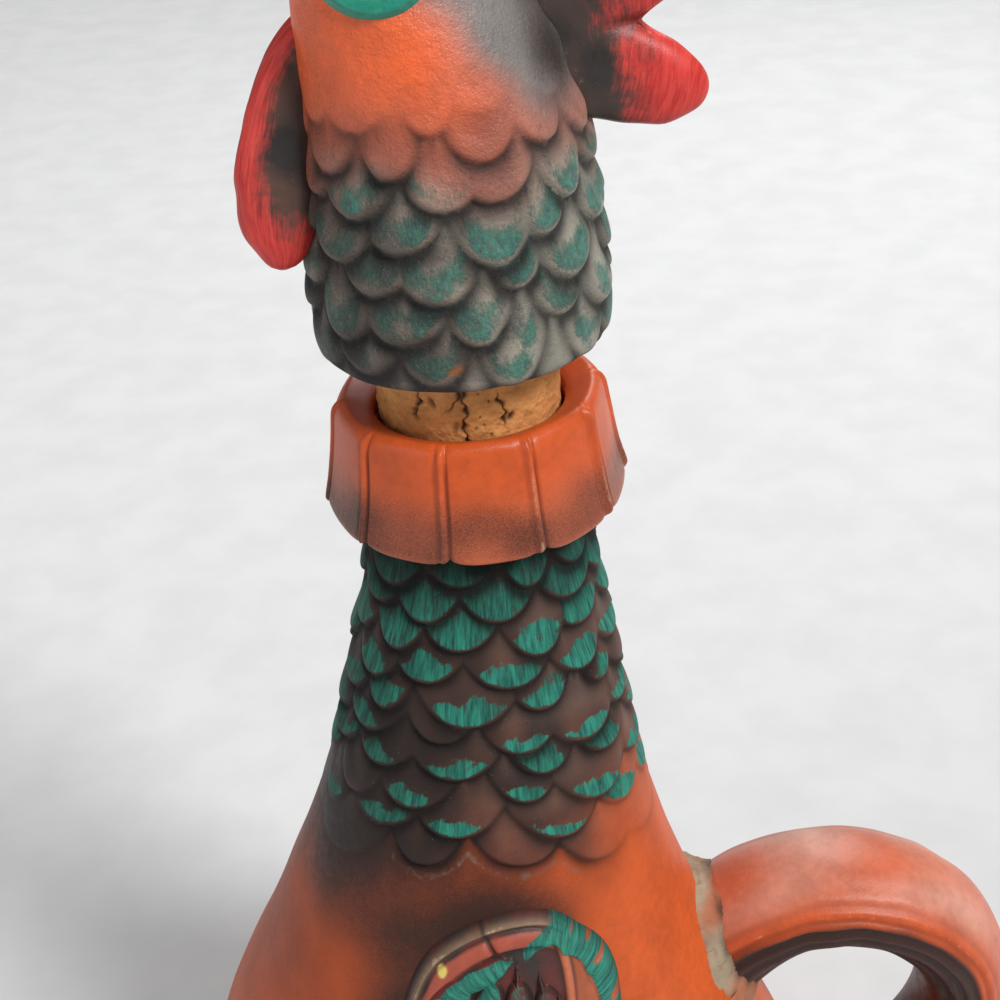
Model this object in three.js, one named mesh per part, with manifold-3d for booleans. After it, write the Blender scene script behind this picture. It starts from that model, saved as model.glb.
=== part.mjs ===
// Rooster decanter: a slip-cast redware bottle shaped as a rooster, with the bird's head as its stopper.
// Millimetres, +Z up. The origin lies on the base under the neck; the beak points to -X, the tail to +X.
import * as THREE from "three";
import { mergeVertices } from "three/addons/utils/BufferGeometryUtils.js";
import Module from "manifold-3d";

const wasm = await Module();
wasm.setup();

// Fits
const seatGap = 0.3; // between two pieces that are luted or seated together
const corkClearance = 0.3; // round the cork, in the mouth and in the head

// Cork
const corkRadius = 15; // at the rim of the head
const corkTaper = 0.055; // radius lost per millimetre of length
const corkLength = 24; // below the rim of the head
const corkHeld = 13; // length glued into the head
const corkChamfer = 1;
const stopperDraw = 9.5; // how far the stopper stands drawn out of its seat

// Bottle outline: radii of the outside and their heights above the base
const footRadius = 46;
const footRound = 4;
const lowBellyRadius = 57;
const lowBellyHeight = 13;
const bellyRadius = 63.5;
const bellyHeight = 41;
const hipRadius = 53.4;
const hipHeight = 75;
const shoulderRadius = 40.1;
const shoulderHeight = 105;
const hemRadius = 29.6;
const hemHeight = 135;
const hackleRadius = 22.9;
const hackleHeight = 165;
const throatFlare = 1.6; // how far the throat stands out from the neck tube
const throatDrop = 24; // how far the throat lies below the top of the neck tube
const neckTop = 208;
const neckWall = 2.6; // wall of the neck tube round the mouth
const bottleWall = 4.5;
const breastLean = 7.5; // how far the body's sections lie towards the breast
const baseLean = 4.5; // the same at the base

// Feather cape on the neck
const capeRows = 11;
const capePerRow = 9;
const capePitch = 5.6;
const capeDepth = 4.8; // how far a feather's tip hangs below its corners
const capeLip = 1.3; // how far a feather's hem stands proud
const capeUndercut = 0.3; // height of the step under a hem
const capeSag = 6; // how far the last row hangs lower over breast and back
const capeTilt = 2; // how far it hangs lower over the back, and higher over the breast
const capeStart = 11.6; // below the top of the neck tube

// Pleated ruff round the mouth
const ruffPleats = 10;
const ruffHeight = 18.5;
const ruffFlange = 5.5; // part of the height that lies above the neck tube
const ruffTopRadius = 21.7;
const ruffHemRadius = 24.6;
const ruffEdge = 2.2; // thickness of the ruff at its hem
const ruffStep = 0.9; // height of a pleat's fold
const ruffScallop = 1.4; // how far a pleat's hem hangs below its corners
const ruffTurn = -12; // degrees from the flank to the nearest fold
const ruffLip = 1.2; // rounding of its edges
const ruffSlope = 2.4; // fall of its top towards the mouth
const ruffSkirt = 6; // how far its seat reaches down the neck tube

// Head: heights above its rim, and how far its side draws in there and its middle lies towards the beak
const headOverhang = 1.6; // of the head's rim past the top of the ruff
const napeHeight = 31;
const napeDraw = 2.2;
const cheekHeight = 53;
const cheekDraw = 6;
const cheekLean = 3;
const browHeight = 67;
const browDraw = 10.4;
const browLean = 7;
const crownHeight = 72;
const crownDraw = 14.6;
const headHeight = 75;
const headTopRadius = 3.3;
const headTopLean = 8.5;
const headWall = 5;
const faceWidth = 1.14; // the face's width as a share of its length from brow to nape
const headCapeRows = 7;
const headCapePerRow = 11;
const headCapePitch = 6.4;
const headCapeDepth = 4.2;
const headCapeTop = 43.7;
const headRimBand = 1.2;

// Comb, wattles, beak and eyes, measured from the rim of the head
const combLobes = 5;
const combThickness = 9;
const combRound = 2.6; // rounding of the comb's edges
const combForward = 3.5; // of the comb's centre
const combHeight = 46; // of the comb's centre
const combTip = 44; // from the comb's centre to a lobe's tip
const combNotch = 33; // from the comb's centre to a notch
const combHeel = 28; // from the comb's centre to the start of its lowest lobe
const combRoot = 15; // from the comb's centre to its root inside the head
const combFirstAngle = -30; // degrees, below the lowest lobe
const combLastAngle = 121; // degrees, in front of the brow
const wattleWidth = 13;
const wattleThickness = 7;
const wattleDrop = 34;
const wattleForward = 5.1; // of a wattle's tip from the throat
const wattleSink = 5.4; // of its root inside the throat
const wattleSpread = 12; // between the middles of the two tips
const wattleRootSpread = 4; // between the middles of the two roots
const beakLength = 17;
const beakHeight = 13;
const beakWidth = 13;
const beakLevel = 60;
const beakSink = 5; // of its root inside the face
const eyeRadius = 9; // along the face
const eyeDroop = 0.78; // its height as a share of its length
const eyeRise = 2.4;
const eyeDepth = 7; // of its root inside the face
const eyeLevel = 61;
const eyeForward = 8;
const eyeTilt = 17; // degrees that the eye looks up, square to the face

// Tail handle
const handleWidth = 27;
const handleThickness = 19;
const handleLowShare = 0.72; // of the section that is left at the lower end
const handleGroove = 0.07; // share of the section that a feather groove takes
const handleTopHeight = 86;
const handleLowHeight = 33;
const handleRise = 13.5; // of the crest above the upper root
const handleSink = 9; // of the path's ends below the bottle's surface
const fingerGap = 22;
const slipSpread = 3.4; // how far the bead of slip at a root spreads over the bottle
const slipRise = 2.2; // how far it stands off the bottle

// Wings: feathers in a fan, with reaches from the middle of the fan
const wingHeight = 107; // of the middle of the fan
const wingBackward = 3; // of the middle of the fan, from the neck's axis
const wingTailReach = 16;
const wingTopReach = 22;
const wingBreastReach = 26;
const wingTipReach = 64;
const wingTipAngle = 283; // degrees from the tail upwards and round to the longest feather
const wingRows = 4;
const wingPerTurn = 14;
const wingPitch = 13.7; // between the rows, at the longest feather
const wingDepth = 10; // how far a feather's tip reaches past its corners, at the longest feather
const wingRise = 2.4; // relief of the fan
const wingLip = 1.5; // how far a feather's hem stands proud of the next row
const wingRim = 1.4; // how far the arch over the fan stands proud of it
const wingRoot = 4; // how far the wing would reach into the bottle if it weren't cut to it

// Counts of facets
const capeFacets = 6; // per feather
const headFacets = 4;
const wingFacets = 4;
const corkFacets = 30;
const eyeFacets = 14;
const wattleFacets = 9;
const wattleSteps = 7;
const beakFacets = 10;
const beakSteps = 6;
const handleFacets = 20; // four for each groove
const handleSteps = 18;
const bellySteps = 9;
const bellyCrowding = 1.25; // draws the rings of the belly together towards the foot
const cavitySteps = 6;
const faceSteps = 7;

// Sizes that follow from the ones above
const mouthRadius = corkRadius + corkClearance;
const tubeRadius = mouthRadius + neckWall;
const throatRadius = tubeRadius + throatFlare;
const throatHeight = neckTop - throatDrop;
const ruffTop = neckTop + seatGap + ruffFlange;
const ruffHem = ruffTop - ruffHeight;
const headSeat = ruffTop + seatGap;
const rimRadius = ruffTopRadius + headOverhang;
const capeTop = neckTop - capeStart;

const ACROSS = new THREE.Vector3(0, 1, 0);
const TURN = 2 * Math.PI;
const FLANK = -Math.PI / 2; // direction of the left flank
const { degToRad, euclideanModulo, lerp, radToDeg, smoothstep } = THREE.MathUtils;

// A smooth curve through stations of [place, value], level at both ends and wherever the values turn.
function through(stations) {
  const slope = stations.map(([at, value], i) => {
    const before = stations[Math.max(i - 1, 0)];
    const after = stations[Math.min(i + 1, stations.length - 1)];
    const turns = (value - before[1]) * (after[1] - value) <= 0;
    return turns ? 0 : (after[1] - before[1]) / (after[0] - before[0]);
  });
  return (at) => {
    let i = 0;
    while (i < stations.length - 2 && at > stations[i + 1][0]) i += 1;
    const [from, low] = stations[i];
    const [to, high] = stations[i + 1];
    const span = to - from;
    const t = THREE.MathUtils.clamp((at - from) / span, 0, 1);
    const t2 = t * t;
    const t3 = t2 * t;
    return (
      low * (2 * t3 - 3 * t2 + 1) +
      high * (3 * t2 - 2 * t3) +
      span * (slope[i] * (t3 - 2 * t2 + t) + slope[i + 1] * (t3 - t2))
    );
  };
}

// A ring of points about the vertical.
function ring(count, pointAt) {
  return Array.from({ length: count }, (_, k) => pointAt((TURN * k) / count, k));
}

// A closed solid through rings of equal count, the first at the bottom, with a flat fan on each end.
function ringSolid(rings) {
  const count = rings[0].length;
  const middle = (points) => points.reduce((sum, p) => sum.add(p), new THREE.Vector3()).divideScalar(count);
  const points = [...rings.flat(), middle(rings[0]), middle(rings[rings.length - 1])];
  const index = [];
  rings.slice(1).forEach((_, i) => {
    for (let k = 0; k < count; k += 1) {
      const next = (k + 1) % count;
      const [a, b] = [i * count + k, i * count + next];
      index.push(a, b, b + count, a, b + count, a + count);
    }
  });
  const low = rings.length * count;
  const top = (rings.length - 1) * count;
  for (let k = 0; k < count; k += 1) {
    const next = (k + 1) % count;
    index.push(low, next, k, low + 1, top + k, top + next);
  }
  return new THREE.BufferGeometry().setFromPoints(points).setIndex(index);
}

// A closed ring-shaped solid: the last ring joins the first again.
function ringLoop(rings) {
  const count = rings[0].length;
  const index = [];
  rings.forEach((_, i) => {
    const here = i * count;
    const there = ((i + 1) % rings.length) * count;
    for (let k = 0; k < count; k += 1) {
      const next = (k + 1) % count;
      index.push(here + k, here + next, there + next, here + k, there + next, there + k);
    }
  });
  return new THREE.BufferGeometry().setFromPoints(rings.flat()).setIndex(index);
}

// A solid of revolution about the vertical from [radius, height] pairs that start and end on the axis.
function revolve(profile, facets) {
  const points = profile.map(([radius, height]) => new THREE.Vector2(radius, height));
  return new THREE.LatheGeometry(points, facets).rotateX(Math.PI / 2);
}

// A solid lofted along a curve in the X-Z plane, from a section of [share along, angle] to [out, across].
function loft(curve, steps, sides, section) {
  return ringSolid(
    Array.from({ length: steps + 1 }, (_, i) => {
      const along = i / steps;
      const at = curve.getPoint(along);
      const out = new THREE.Vector3().crossVectors(ACROSS, curve.getTangent(along));
      return ring(sides, (angle, k) => {
        const [reach, side] = section(along, angle, k);
        return at.clone().addScaledVector(out, reach).addScaledVector(ACROSS, side);
      });
    }),
  );
}

function solid(geometry) {
  const bare = geometry.clone();
  bare.deleteAttribute("normal");
  bare.deleteAttribute("uv");
  const merged = mergeVertices(bare, 1e-4);
  const triVerts = new Uint32Array(merged.index.array);
  return new wasm.Manifold(
    new wasm.Mesh({ numProp: 3, vertProperties: merged.attributes.position.array, triVerts }),
  );
}

function geometryOf(body) {
  const { vertProperties, triVerts } = body.getMesh();
  const geometry = new THREE.BufferGeometry();
  geometry.setAttribute("position", new THREE.BufferAttribute(vertProperties, 3));
  geometry.setIndex(new THREE.BufferAttribute(triVerts, 1));
  geometry.computeVertexNormals();
  return geometry;
}

// Paints and clays
function finish(color, roughness) {
  return new THREE.MeshStandardMaterial({ color, roughness, metalness: 0 });
}
const redware = finish(0xb9522a, 0.45);
const featherPaint = finish(0x2f5a50, 0.6);
const combRed = finish(0xb8302a, 0.4);
const beakYellow = finish(0xd2b45a, 0.5);
const eyeTeal = finish(0x2f9a84, 0.4);
const corkBrown = finish(0xc09a66, 0.9);
const slipGrey = finish(0xb09c82, 0.85);

function piece(name, geometry, material) {
  const mesh = new THREE.Mesh(geometry, material);
  mesh.name = name;
  return mesh;
}

// Outside of the bottle: radius at a height, and how far the section's middle lies from the neck's axis.
const bottleRadius = through([
  [0, footRadius],
  [lowBellyHeight, lowBellyRadius],
  [bellyHeight, bellyRadius],
  [hipHeight, hipRadius],
  [shoulderHeight, shoulderRadius],
  [hemHeight, hemRadius],
  [hackleHeight, hackleRadius],
  [throatHeight, throatRadius],
  [neckTop, tubeRadius],
]);
const bottleMiddle = through([
  [0, -baseLean],
  [hipHeight, -breastLean],
  [hackleHeight, -breastLean * 0.2],
  [neckTop, 0],
]);

function bottlePoint(height, angle, offset = 0) {
  const radius = bottleRadius(height) + offset;
  return new THREE.Vector3(bottleMiddle(height) + radius * Math.cos(angle), radius * Math.sin(angle), height);
}

// Overlapping feathers in rows: a row's scalloped hem stands proud of the row under it.
// pointAt takes a height, an angle and how far the point stands off the bare surface.
// shown is the share of scallops and lips that is left at an angle.
function featherRings({ rows, perRow, facets, top, pitch, depth, lip, floor, pointAt, ...course }) {
  const { sag = 0, tilt = 0, shown = () => 1 } = course;
  const count = perRow * facets;
  const rings = [];
  let above = new Array(count).fill(top);
  for (let row = 0; row < rows; row += 1) {
    const hems = above.map((previous, k) => {
      const angle = (TURN * k) / count;
      const along = Math.cos(angle);
      const across = ((k / facets + (row % 2) / 2) % 1) * 2 - 1;
      const hang = 1 - across * across * shown(angle);
      const low = (row / rows) * (sag * along * along + tilt * along);
      const height = Math.max(top - row * pitch - depth * hang - low, floor);
      const shows = height < previous - 2 * capeUndercut;
      return {
        height: shows ? height : previous - capeUndercut / 2,
        stand: shows ? lip * shown(angle) * Math.sqrt(hang) : 0,
      };
    });
    rings.push(ring(count, (angle, k) => pointAt(hems[k].height, angle, hems[k].stand)));
    rings.push(ring(count, (angle, k) => pointAt(hems[k].height - capeUndercut, angle, 0)));
    above = hems.map((hem) => hem.height - capeUndercut);
  }
  return { rings: rings.reverse(), hems: above };
}

// The bottle's outside, grown by an offset: foot, belly, feathered or bare neck, and plain tube.
function bottleOutside(offset = 0, feathered = true) {
  const count = capePerRow * capeFacets;
  const cape = featherRings({
    rows: capeRows,
    perRow: capePerRow,
    facets: capeFacets,
    top: capeTop,
    pitch: capePitch,
    depth: capeDepth,
    lip: capeLip,
    sag: capeSag,
    tilt: capeTilt,
    floor: hipHeight,
    pointAt: (height, angle, stand) => bottlePoint(height, angle, offset + stand),
  });
  const level = (height) => ring(count, (angle) => bottlePoint(height, angle, offset));
  const bellyTop = Math.min(...cape.hems) - capePitch;
  const foot = [0, 0.5].map((share) => {
    const inset = footRound * (1 - Math.sin((share * Math.PI) / 2)) ** 2;
    return ring(count, (angle) => bottlePoint(footRound * share, angle, offset - inset));
  });
  foot[0].forEach((point) => point.setZ(-offset));
  const belly = Array.from({ length: bellySteps }, (_, i) =>
    level(footRound + (bellyTop - footRound) * (i / (bellySteps - 1)) ** bellyCrowding),
  );
  const neck = feathered ? cape.rings : [level(hemHeight), level(hackleHeight)];
  const tube = [level(capeTop + capeUndercut), level(neckTop - ruffSkirt), level(neckTop)];
  tube[2].forEach((point) => point.setZ(neckTop + offset));
  return ringSolid([...foot, ...belly, ...neck, ...tube]);
}

// The bore that the cork fits, at its seat.
function boreRadius(height) {
  return corkRadius + corkTaper * (height - headSeat) + corkClearance;
}

function bottleCavity() {
  const throat = headSeat - corkLength - corkClearance;
  const inside = (height) => Math.max(bottleRadius(height) - bottleWall, boreRadius(throat));
  const lowest = bottleWall + footRound / 2;
  const wall = Array.from({ length: cavitySteps }, (_, i) => {
    const height = lowest + ((hackleHeight - lowest) * i) / (cavitySteps - 1);
    return { height, radius: inside(height), middle: bottleMiddle(height) };
  });
  const floor = { ...wall[0], height: bottleWall, radius: inside(bottleWall) - footRound };
  const bore = [throat, neckTop + seatGap].map((height) => {
    return { height, radius: boreRadius(height), middle: 0 };
  });
  return ringSolid(
    [floor, ...wall, ...bore].map(({ height, radius, middle }) =>
      ring(corkFacets, (angle) =>
        new THREE.Vector3(middle + radius * Math.cos(angle), radius * Math.sin(angle), height),
      ),
    ),
  );
}

const bottleEnvelope = solid(bottleOutside(seatGap));
const bottle = solid(bottleOutside()).subtract(solid(bottleCavity()));

// The ruff: a ring of pleats that caps the neck tube and forms the mouth.
function ruffGeometry() {
  const stops = [0, 0.08, 0.33, 0.66, 0.92];
  const count = ruffPleats * stops.length;
  const half = Math.PI / ruffPleats;
  const at = (angle, radius, height) =>
    new THREE.Vector3(radius * Math.cos(angle), radius * Math.sin(angle), height);
  const pleat = (k) => {
    const share = stops[k % stops.length];
    const angle = FLANK + degToRad(ruffTurn) + 2 * half * (Math.floor(k / stops.length) + share);
    const flat = Math.cos(half) / Math.cos((share * 2 - 1) * half);
    const fold = share === 0 ? ruffStep : -ruffStep * (1 - share) ** 2;
    return { angle, share, flat, fold };
  };
  const round = (radius, height) => ring(count, (_, k) => at(pleat(k).angle, radius, height));
  const pleated = (radius, height, foldShare, hang) =>
    ring(count, (_, k) => {
      const { angle, share, flat, fold } = pleat(k);
      return at(angle, radius * flat + fold * foldShare, height - hang * 4 * share * (1 - share));
    });
  const seat = tubeRadius + seatGap;
  return ringLoop([
    round(bottleRadius(neckTop - ruffSkirt) + seatGap, neckTop - ruffSkirt),
    pleated(ruffHemRadius - ruffEdge, ruffHem, 0, ruffScallop),
    pleated(ruffHemRadius - ruffLip / 2, ruffHem, 0.8, ruffScallop),
    pleated(ruffHemRadius, ruffHem + ruffLip, 1, ruffScallop),
    pleated((ruffTopRadius + ruffHemRadius) / 2, (ruffTop + ruffHem) / 2, 1, 0),
    pleated(ruffTopRadius, ruffTop - ruffLip, 0.8, 0),
    pleated(ruffTopRadius - ruffLip, ruffTop, 0.3, 0),
    round((ruffTopRadius + mouthRadius) / 2, ruffTop - ruffSlope / 4),
    round(boreRadius(ruffTop), ruffTop - ruffSlope),
    round(boreRadius(neckTop), neckTop + seatGap),
    round(seat, neckTop + seatGap),
  ]);
}

// The head: rows of feathers below, a bare face above, and the crown leaning towards the beak.
const headRadius = through([
  [0, rimRadius],
  [napeHeight, rimRadius - napeDraw],
  [cheekHeight, rimRadius - cheekDraw],
  [browHeight, rimRadius - browDraw],
  [crownHeight, rimRadius - crownDraw],
  [headHeight, headTopRadius],
]);
const headMiddle = through([
  [0, 0],
  [napeHeight, 0],
  [cheekHeight, -cheekLean],
  [browHeight, -browLean],
  [headHeight, -headTopLean],
]);
const headBreadth = through([
  [0, 1],
  [napeHeight, 1],
  [cheekHeight, faceWidth],
  [headHeight, faceWidth],
]);

function headPoint(height, angle, offset = 0) {
  const length = headRadius(height) + offset;
  const breadth = headRadius(height) * headBreadth(height) + offset;
  return new THREE.Vector3(headMiddle(height) + length * Math.cos(angle), breadth * Math.sin(angle), height);
}

function headOutside(offset = 0) {
  const count = headCapePerRow * headFacets;
  const cape = featherRings({
    rows: headCapeRows,
    perRow: headCapePerRow,
    facets: headFacets,
    top: headCapeTop,
    pitch: headCapePitch,
    depth: headCapeDepth,
    lip: capeLip,
    floor: headRimBand,
    pointAt: (height, angle, stand) => headPoint(height, angle, offset + stand),
  });
  const level = (height) => ring(count, (angle) => headPoint(height, angle, offset));
  const rim = ring(count, (angle) => headPoint(0, angle, offset));
  rim.forEach((point) => point.setZ(-offset));
  const face = Array.from({ length: faceSteps - 1 }, (_, i) => {
    const share = Math.sin(((i + 0.5) / faceSteps) * (Math.PI / 2));
    return level(headCapeTop + (headHeight - headCapeTop) * share);
  });
  const crown = level(headHeight);
  crown.forEach((point) => point.setZ(headHeight + offset));
  return ringSolid([rim, ...cape.rings, ...face, crown]);
}

// The socket for the cork, open to the hollow that slip casting leaves above it.
function headCavity() {
  const socket = corkRadius + corkClearance;
  const top = corkHeld + seatGap;
  const levels = [corkHeld + headWall, napeHeight, (napeHeight + cheekHeight) / 2, cheekHeight];
  const hollow = levels.map((height) => [headRadius(height) + headMiddle(height) - headWall, height]);
  const roof = browHeight - headWall;
  const mouth = [[0, -seatGap], [socket, -seatGap], [socket, top]];
  return revolve([...mouth, ...hollow, [0, roof]], corkFacets);
}

const headEnvelope = solid(headOutside(seatGap));
const head = solid(headOutside()).subtract(solid(headCavity()));

// The cork: straight where the head holds it, tapered below.
function corkGeometry() {
  const endRadius = corkRadius - corkTaper * corkLength;
  return revolve(
    [
      [0, -corkLength],
      [endRadius - corkChamfer, -corkLength],
      [endRadius, corkChamfer - corkLength],
      [corkRadius, 0],
      [corkRadius, corkHeld - corkChamfer],
      [corkRadius - corkChamfer, corkHeld],
      [0, corkHeld],
    ],
    corkFacets,
  );
}

// The comb: lobes round an arc over crown and nape, rounded at the edges and cut to the head.
function combGeometry() {
  const pitch = degToRad((combLastAngle - combFirstAngle) / combLobes);
  const first = degToRad(combFirstAngle);
  const centre = new THREE.Vector2(-combForward, combHeight);
  const at = (angle, radius) =>
    new THREE.Vector2(radius * Math.cos(angle), radius * Math.sin(angle)).add(centre);
  const handles = combNotch + ((combTip - combNotch) * 4) / 3; // so that the curve's crest lies at the tip
  const shape = new THREE.Shape();
  const foot = at(first - pitch / 3, combRoot);
  const heel = at(first, combHeel);
  shape.moveTo(foot.x, foot.y);
  shape.lineTo(heel.x, heel.y);
  for (let lobe = 0; lobe < combLobes; lobe += 1) {
    const low = first + lobe * pitch;
    const from = at(low + pitch * 0.25, handles);
    const to = at(low + pitch * 0.65, handles);
    const end = at(low + pitch, combNotch);
    shape.bezierCurveTo(from.x, from.y, to.x, to.y, end.x, end.y);
  }
  const brow = at(first + combLobes * pitch, combRoot);
  shape.lineTo(brow.x, brow.y);
  const flat = combThickness - 2 * combRound;
  return new THREE.ExtrudeGeometry(shape, {
    depth: flat,
    curveSegments: 5,
    bevelEnabled: true,
    bevelThickness: combRound,
    bevelSize: combRound,
    bevelOffset: -combRound,
    bevelSegments: 2,
  })
    .translate(0, 0, -flat / 2)
    .rotateX(Math.PI / 2);
}

// A wattle: a lobe that hangs from the chin and swells towards its lower end.
function wattleGeometry(side) {
  const chin = beakLevel - beakHeight * 0.85;
  const throat = headMiddle(chin) - headRadius(chin);
  const curve = new THREE.CatmullRomCurve3([
    new THREE.Vector3(throat + wattleSink, 0, chin),
    new THREE.Vector3(throat - wattleForward * 0.3, 0, chin - wattleDrop * 0.2),
    new THREE.Vector3(throat - wattleForward * 0.8, 0, chin - wattleDrop * 0.6),
    new THREE.Vector3(throat - wattleForward, 0, chin - wattleDrop),
  ]);
  const swell = through([
    [0, 0.5],
    [0.4, 0.7],
    [0.75, 1],
    [0.93, 0.72],
    [1, 0.25],
  ]);
  return loft(curve, wattleSteps, wattleFacets, (along, angle) => {
    const middle = lerp(wattleRootSpread, wattleSpread, along) / 2;
    return [
      (wattleWidth / 2) * swell(along) * Math.cos(angle),
      side * middle + (wattleThickness / 2) * swell(along) * Math.sin(angle),
    ];
  });
}

// One half of the beak: a horn that tapers to its tip, from heights of its middle at root, bend and tip.
function beakGeometry({ length, height, root, bend, tip }) {
  const face = headMiddle(beakLevel) - headRadius(beakLevel);
  const curve = new THREE.CatmullRomCurve3([
    new THREE.Vector3(face + beakSink, 0, beakLevel + root),
    new THREE.Vector3(face - length * 0.4, 0, beakLevel + bend),
    new THREE.Vector3(face - length, 0, beakLevel + tip),
  ]);
  return loft(curve, beakSteps, beakFacets, (along, angle) => {
    const taper = 1 - 0.9 * along ** 1.6;
    return [(height / 2) * taper * Math.cos(angle), (beakWidth / 2) * taper * Math.sin(angle)];
  });
}
const upperBeak = {
  length: beakLength,
  height: beakHeight * 0.62,
  root: beakHeight * 0.25,
  bend: beakHeight * 0.25,
  tip: -beakHeight * 0.2,
};
const lowerBeak = {
  length: beakLength * 0.8,
  height: beakHeight * 0.36,
  root: -beakHeight * 0.27,
  bend: -beakHeight * 0.16,
  tip: -beakHeight * 0.18,
};

// An eye: a low ring round a domed ball, set into the side of the face.
function eyeGeometry(side) {
  const profile = [
    [0, -eyeDepth],
    [eyeRadius, -eyeDepth],
    [eyeRadius, eyeRise * 0.25],
    [eyeRadius * 0.82, eyeRise * 0.8],
    [eyeRadius * 0.62, eyeRise * 0.6],
    [eyeRadius * 0.36, eyeRise * 1.05],
    [0, eyeRise * 1.2],
  ];
  const face = headRadius(eyeLevel) * headBreadth(eyeLevel) - seatGap;
  return revolve(profile, eyeFacets)
    .rotateX((-side * Math.PI) / 2)
    .scale(1, 1, eyeDroop)
    .rotateX(degToRad(side * eyeTilt))
    .translate(-eyeForward, side * face, eyeLevel);
}

const capOnHead = (geometry) => geometryOf(solid(geometry).subtract(headEnvelope));

// The tail handle: an arch of bundled feathers from shoulder to belly.
function tailAt(height) {
  return bottleMiddle(height) + bottleRadius(height);
}
const handleOut = tailAt(bellyHeight) + fingerGap + handleThickness / 2;
const handleCurve = new THREE.CubicBezierCurve3(
  new THREE.Vector3(tailAt(handleTopHeight) - handleSink, 0, handleTopHeight - handleSink * 0.5),
  new THREE.Vector3(tailAt(handleTopHeight) + handleRise * 1.6, 0, handleTopHeight + handleRise * 3.1),
  new THREE.Vector3(
    tailAt(bellyHeight) + (handleOut - tailAt(bellyHeight)) * 2.4,
    0,
    handleLowHeight + handleRise * 2.4,
  ),
  new THREE.Vector3(tailAt(handleLowHeight) - handleSink, 0, handleLowHeight - handleSink * 0.4),
);

function handleGeometry(grow = 0, grooved = true) {
  const taper = through([
    [0, 1],
    [0.45, 1],
    [1, handleLowShare],
  ]);
  return loft(handleCurve, handleSteps, handleFacets, (along, angle, k) => {
    const groove = grooved && k % 4 === 1 ? 1 - handleGroove : 1;
    const share = taper(along) * groove;
    return [
      ((handleThickness / 2) * share + grow) * Math.cos(angle),
      ((handleWidth / 2) * share + grow) * Math.sin(angle),
    ];
  });
}

// The beads of slip that lute the handle: collars that spread round both of its roots.
const slipBeads = solid(handleGeometry(seatGap + slipSpread, false))
  .intersect(solid(bottleOutside(seatGap + slipRise, false)))
  .subtract(bottleEnvelope)
  .subtract(solid(handleGeometry(seatGap, false)));

function slipGeometry(end) {
  const middle = (handleTopHeight + handleLowHeight) / 2;
  return geometryOf(slipBeads.trimByPlane([0, 0, end], end * middle));
}

// Reach of a wing from the middle of its fan, at an angle from the tail upwards.
const wingReach = through([
  [0, wingTailReach],
  [90, wingTopReach],
  [180, wingBreastReach],
  [wingTipAngle, wingTipReach],
  [360, wingTailReach],
]);

// Share of the feathers that shows at an angle: all below, and none in the plain dish under the arch.
const wingFeathered = through([
  [0, 0.4],
  [40, 0],
  [150, 0],
  [210, 1],
  [320, 1],
  [360, 0.4],
]);

// A wing in relief: rows of feathers that fan out below a raised arch, laid on the flank and cut to it.
function wingGeometry(side) {
  const count = wingPerTurn * wingFacets;
  const degreesAt = (angle) => euclideanModulo(radToDeg(side < 0 ? angle : Math.PI - angle), 360);
  const pointAt = (height, angle, stand) => {
    const degrees = degreesAt(angle);
    const share = -height / wingTipReach;
    const x = wingBackward + share * wingReach(degrees) * Math.cos(degToRad(degrees));
    const z = wingHeight + share * wingReach(degrees) * Math.sin(degToRad(degrees));
    const arch = wingRim * (1 - wingFeathered(degrees)) * smoothstep(share, 0.8, 1);
    const radius = bottleRadius(z) + seatGap + stand + arch;
    return new THREE.Vector3(x, side * Math.sqrt(radius ** 2 - (x - bottleMiddle(z)) ** 2), z);
  };
  const top = (wingRows - 1) * wingPitch + wingDepth - wingTipReach;
  const fan = featherRings({
    rows: wingRows,
    perRow: wingPerTurn,
    facets: wingFacets,
    top,
    pitch: wingPitch,
    depth: wingDepth,
    lip: wingLip,
    floor: -wingTipReach,
    shown: (angle) => wingFeathered(degreesAt(angle)),
    pointAt: (height, angle, stand) => pointAt(height, angle, wingRise + stand),
  });
  const root = ring(count, (angle, k) => pointAt(fan.hems[k], angle, -wingRoot));
  const heart = ring(count, (angle) => pointAt(top / 2, angle, wingRise));
  return geometryOf(solid(ringSolid([root, ...fan.rings, heart])).subtract(bottleEnvelope));
}

// The assembly
const decanter = new THREE.Group();
decanter.add(
  piece("bottle", geometryOf(bottle), redware),
  piece("neck_ruff", ruffGeometry(), redware),
  piece("tail_handle", geometryOf(solid(handleGeometry()).subtract(bottleEnvelope)), redware),
  piece("handle_slip_upper", slipGeometry(1), slipGrey),
  piece("handle_slip_lower", slipGeometry(-1), slipGrey),
  piece("wing_left", wingGeometry(-1), featherPaint),
  piece("wing_right", wingGeometry(1), featherPaint),
);

const stopper = new THREE.Group();
stopper.position.setZ(headSeat + stopperDraw);
stopper.add(
  piece("cork", corkGeometry(), corkBrown),
  piece("head", geometryOf(head), redware),
  piece("comb", capOnHead(combGeometry()), combRed),
  piece("beak_upper", capOnHead(beakGeometry(upperBeak)), beakYellow),
  piece("beak_lower", capOnHead(beakGeometry(lowerBeak)), beakYellow),
  piece("wattle_left", capOnHead(wattleGeometry(-1)), combRed),
  piece("wattle_right", capOnHead(wattleGeometry(1)), combRed),
  piece("eye_left", capOnHead(eyeGeometry(-1)), eyeTeal),
  piece("eye_right", capOnHead(eyeGeometry(1)), eyeTeal),
);
decanter.add(stopper);

export default decanter;
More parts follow.
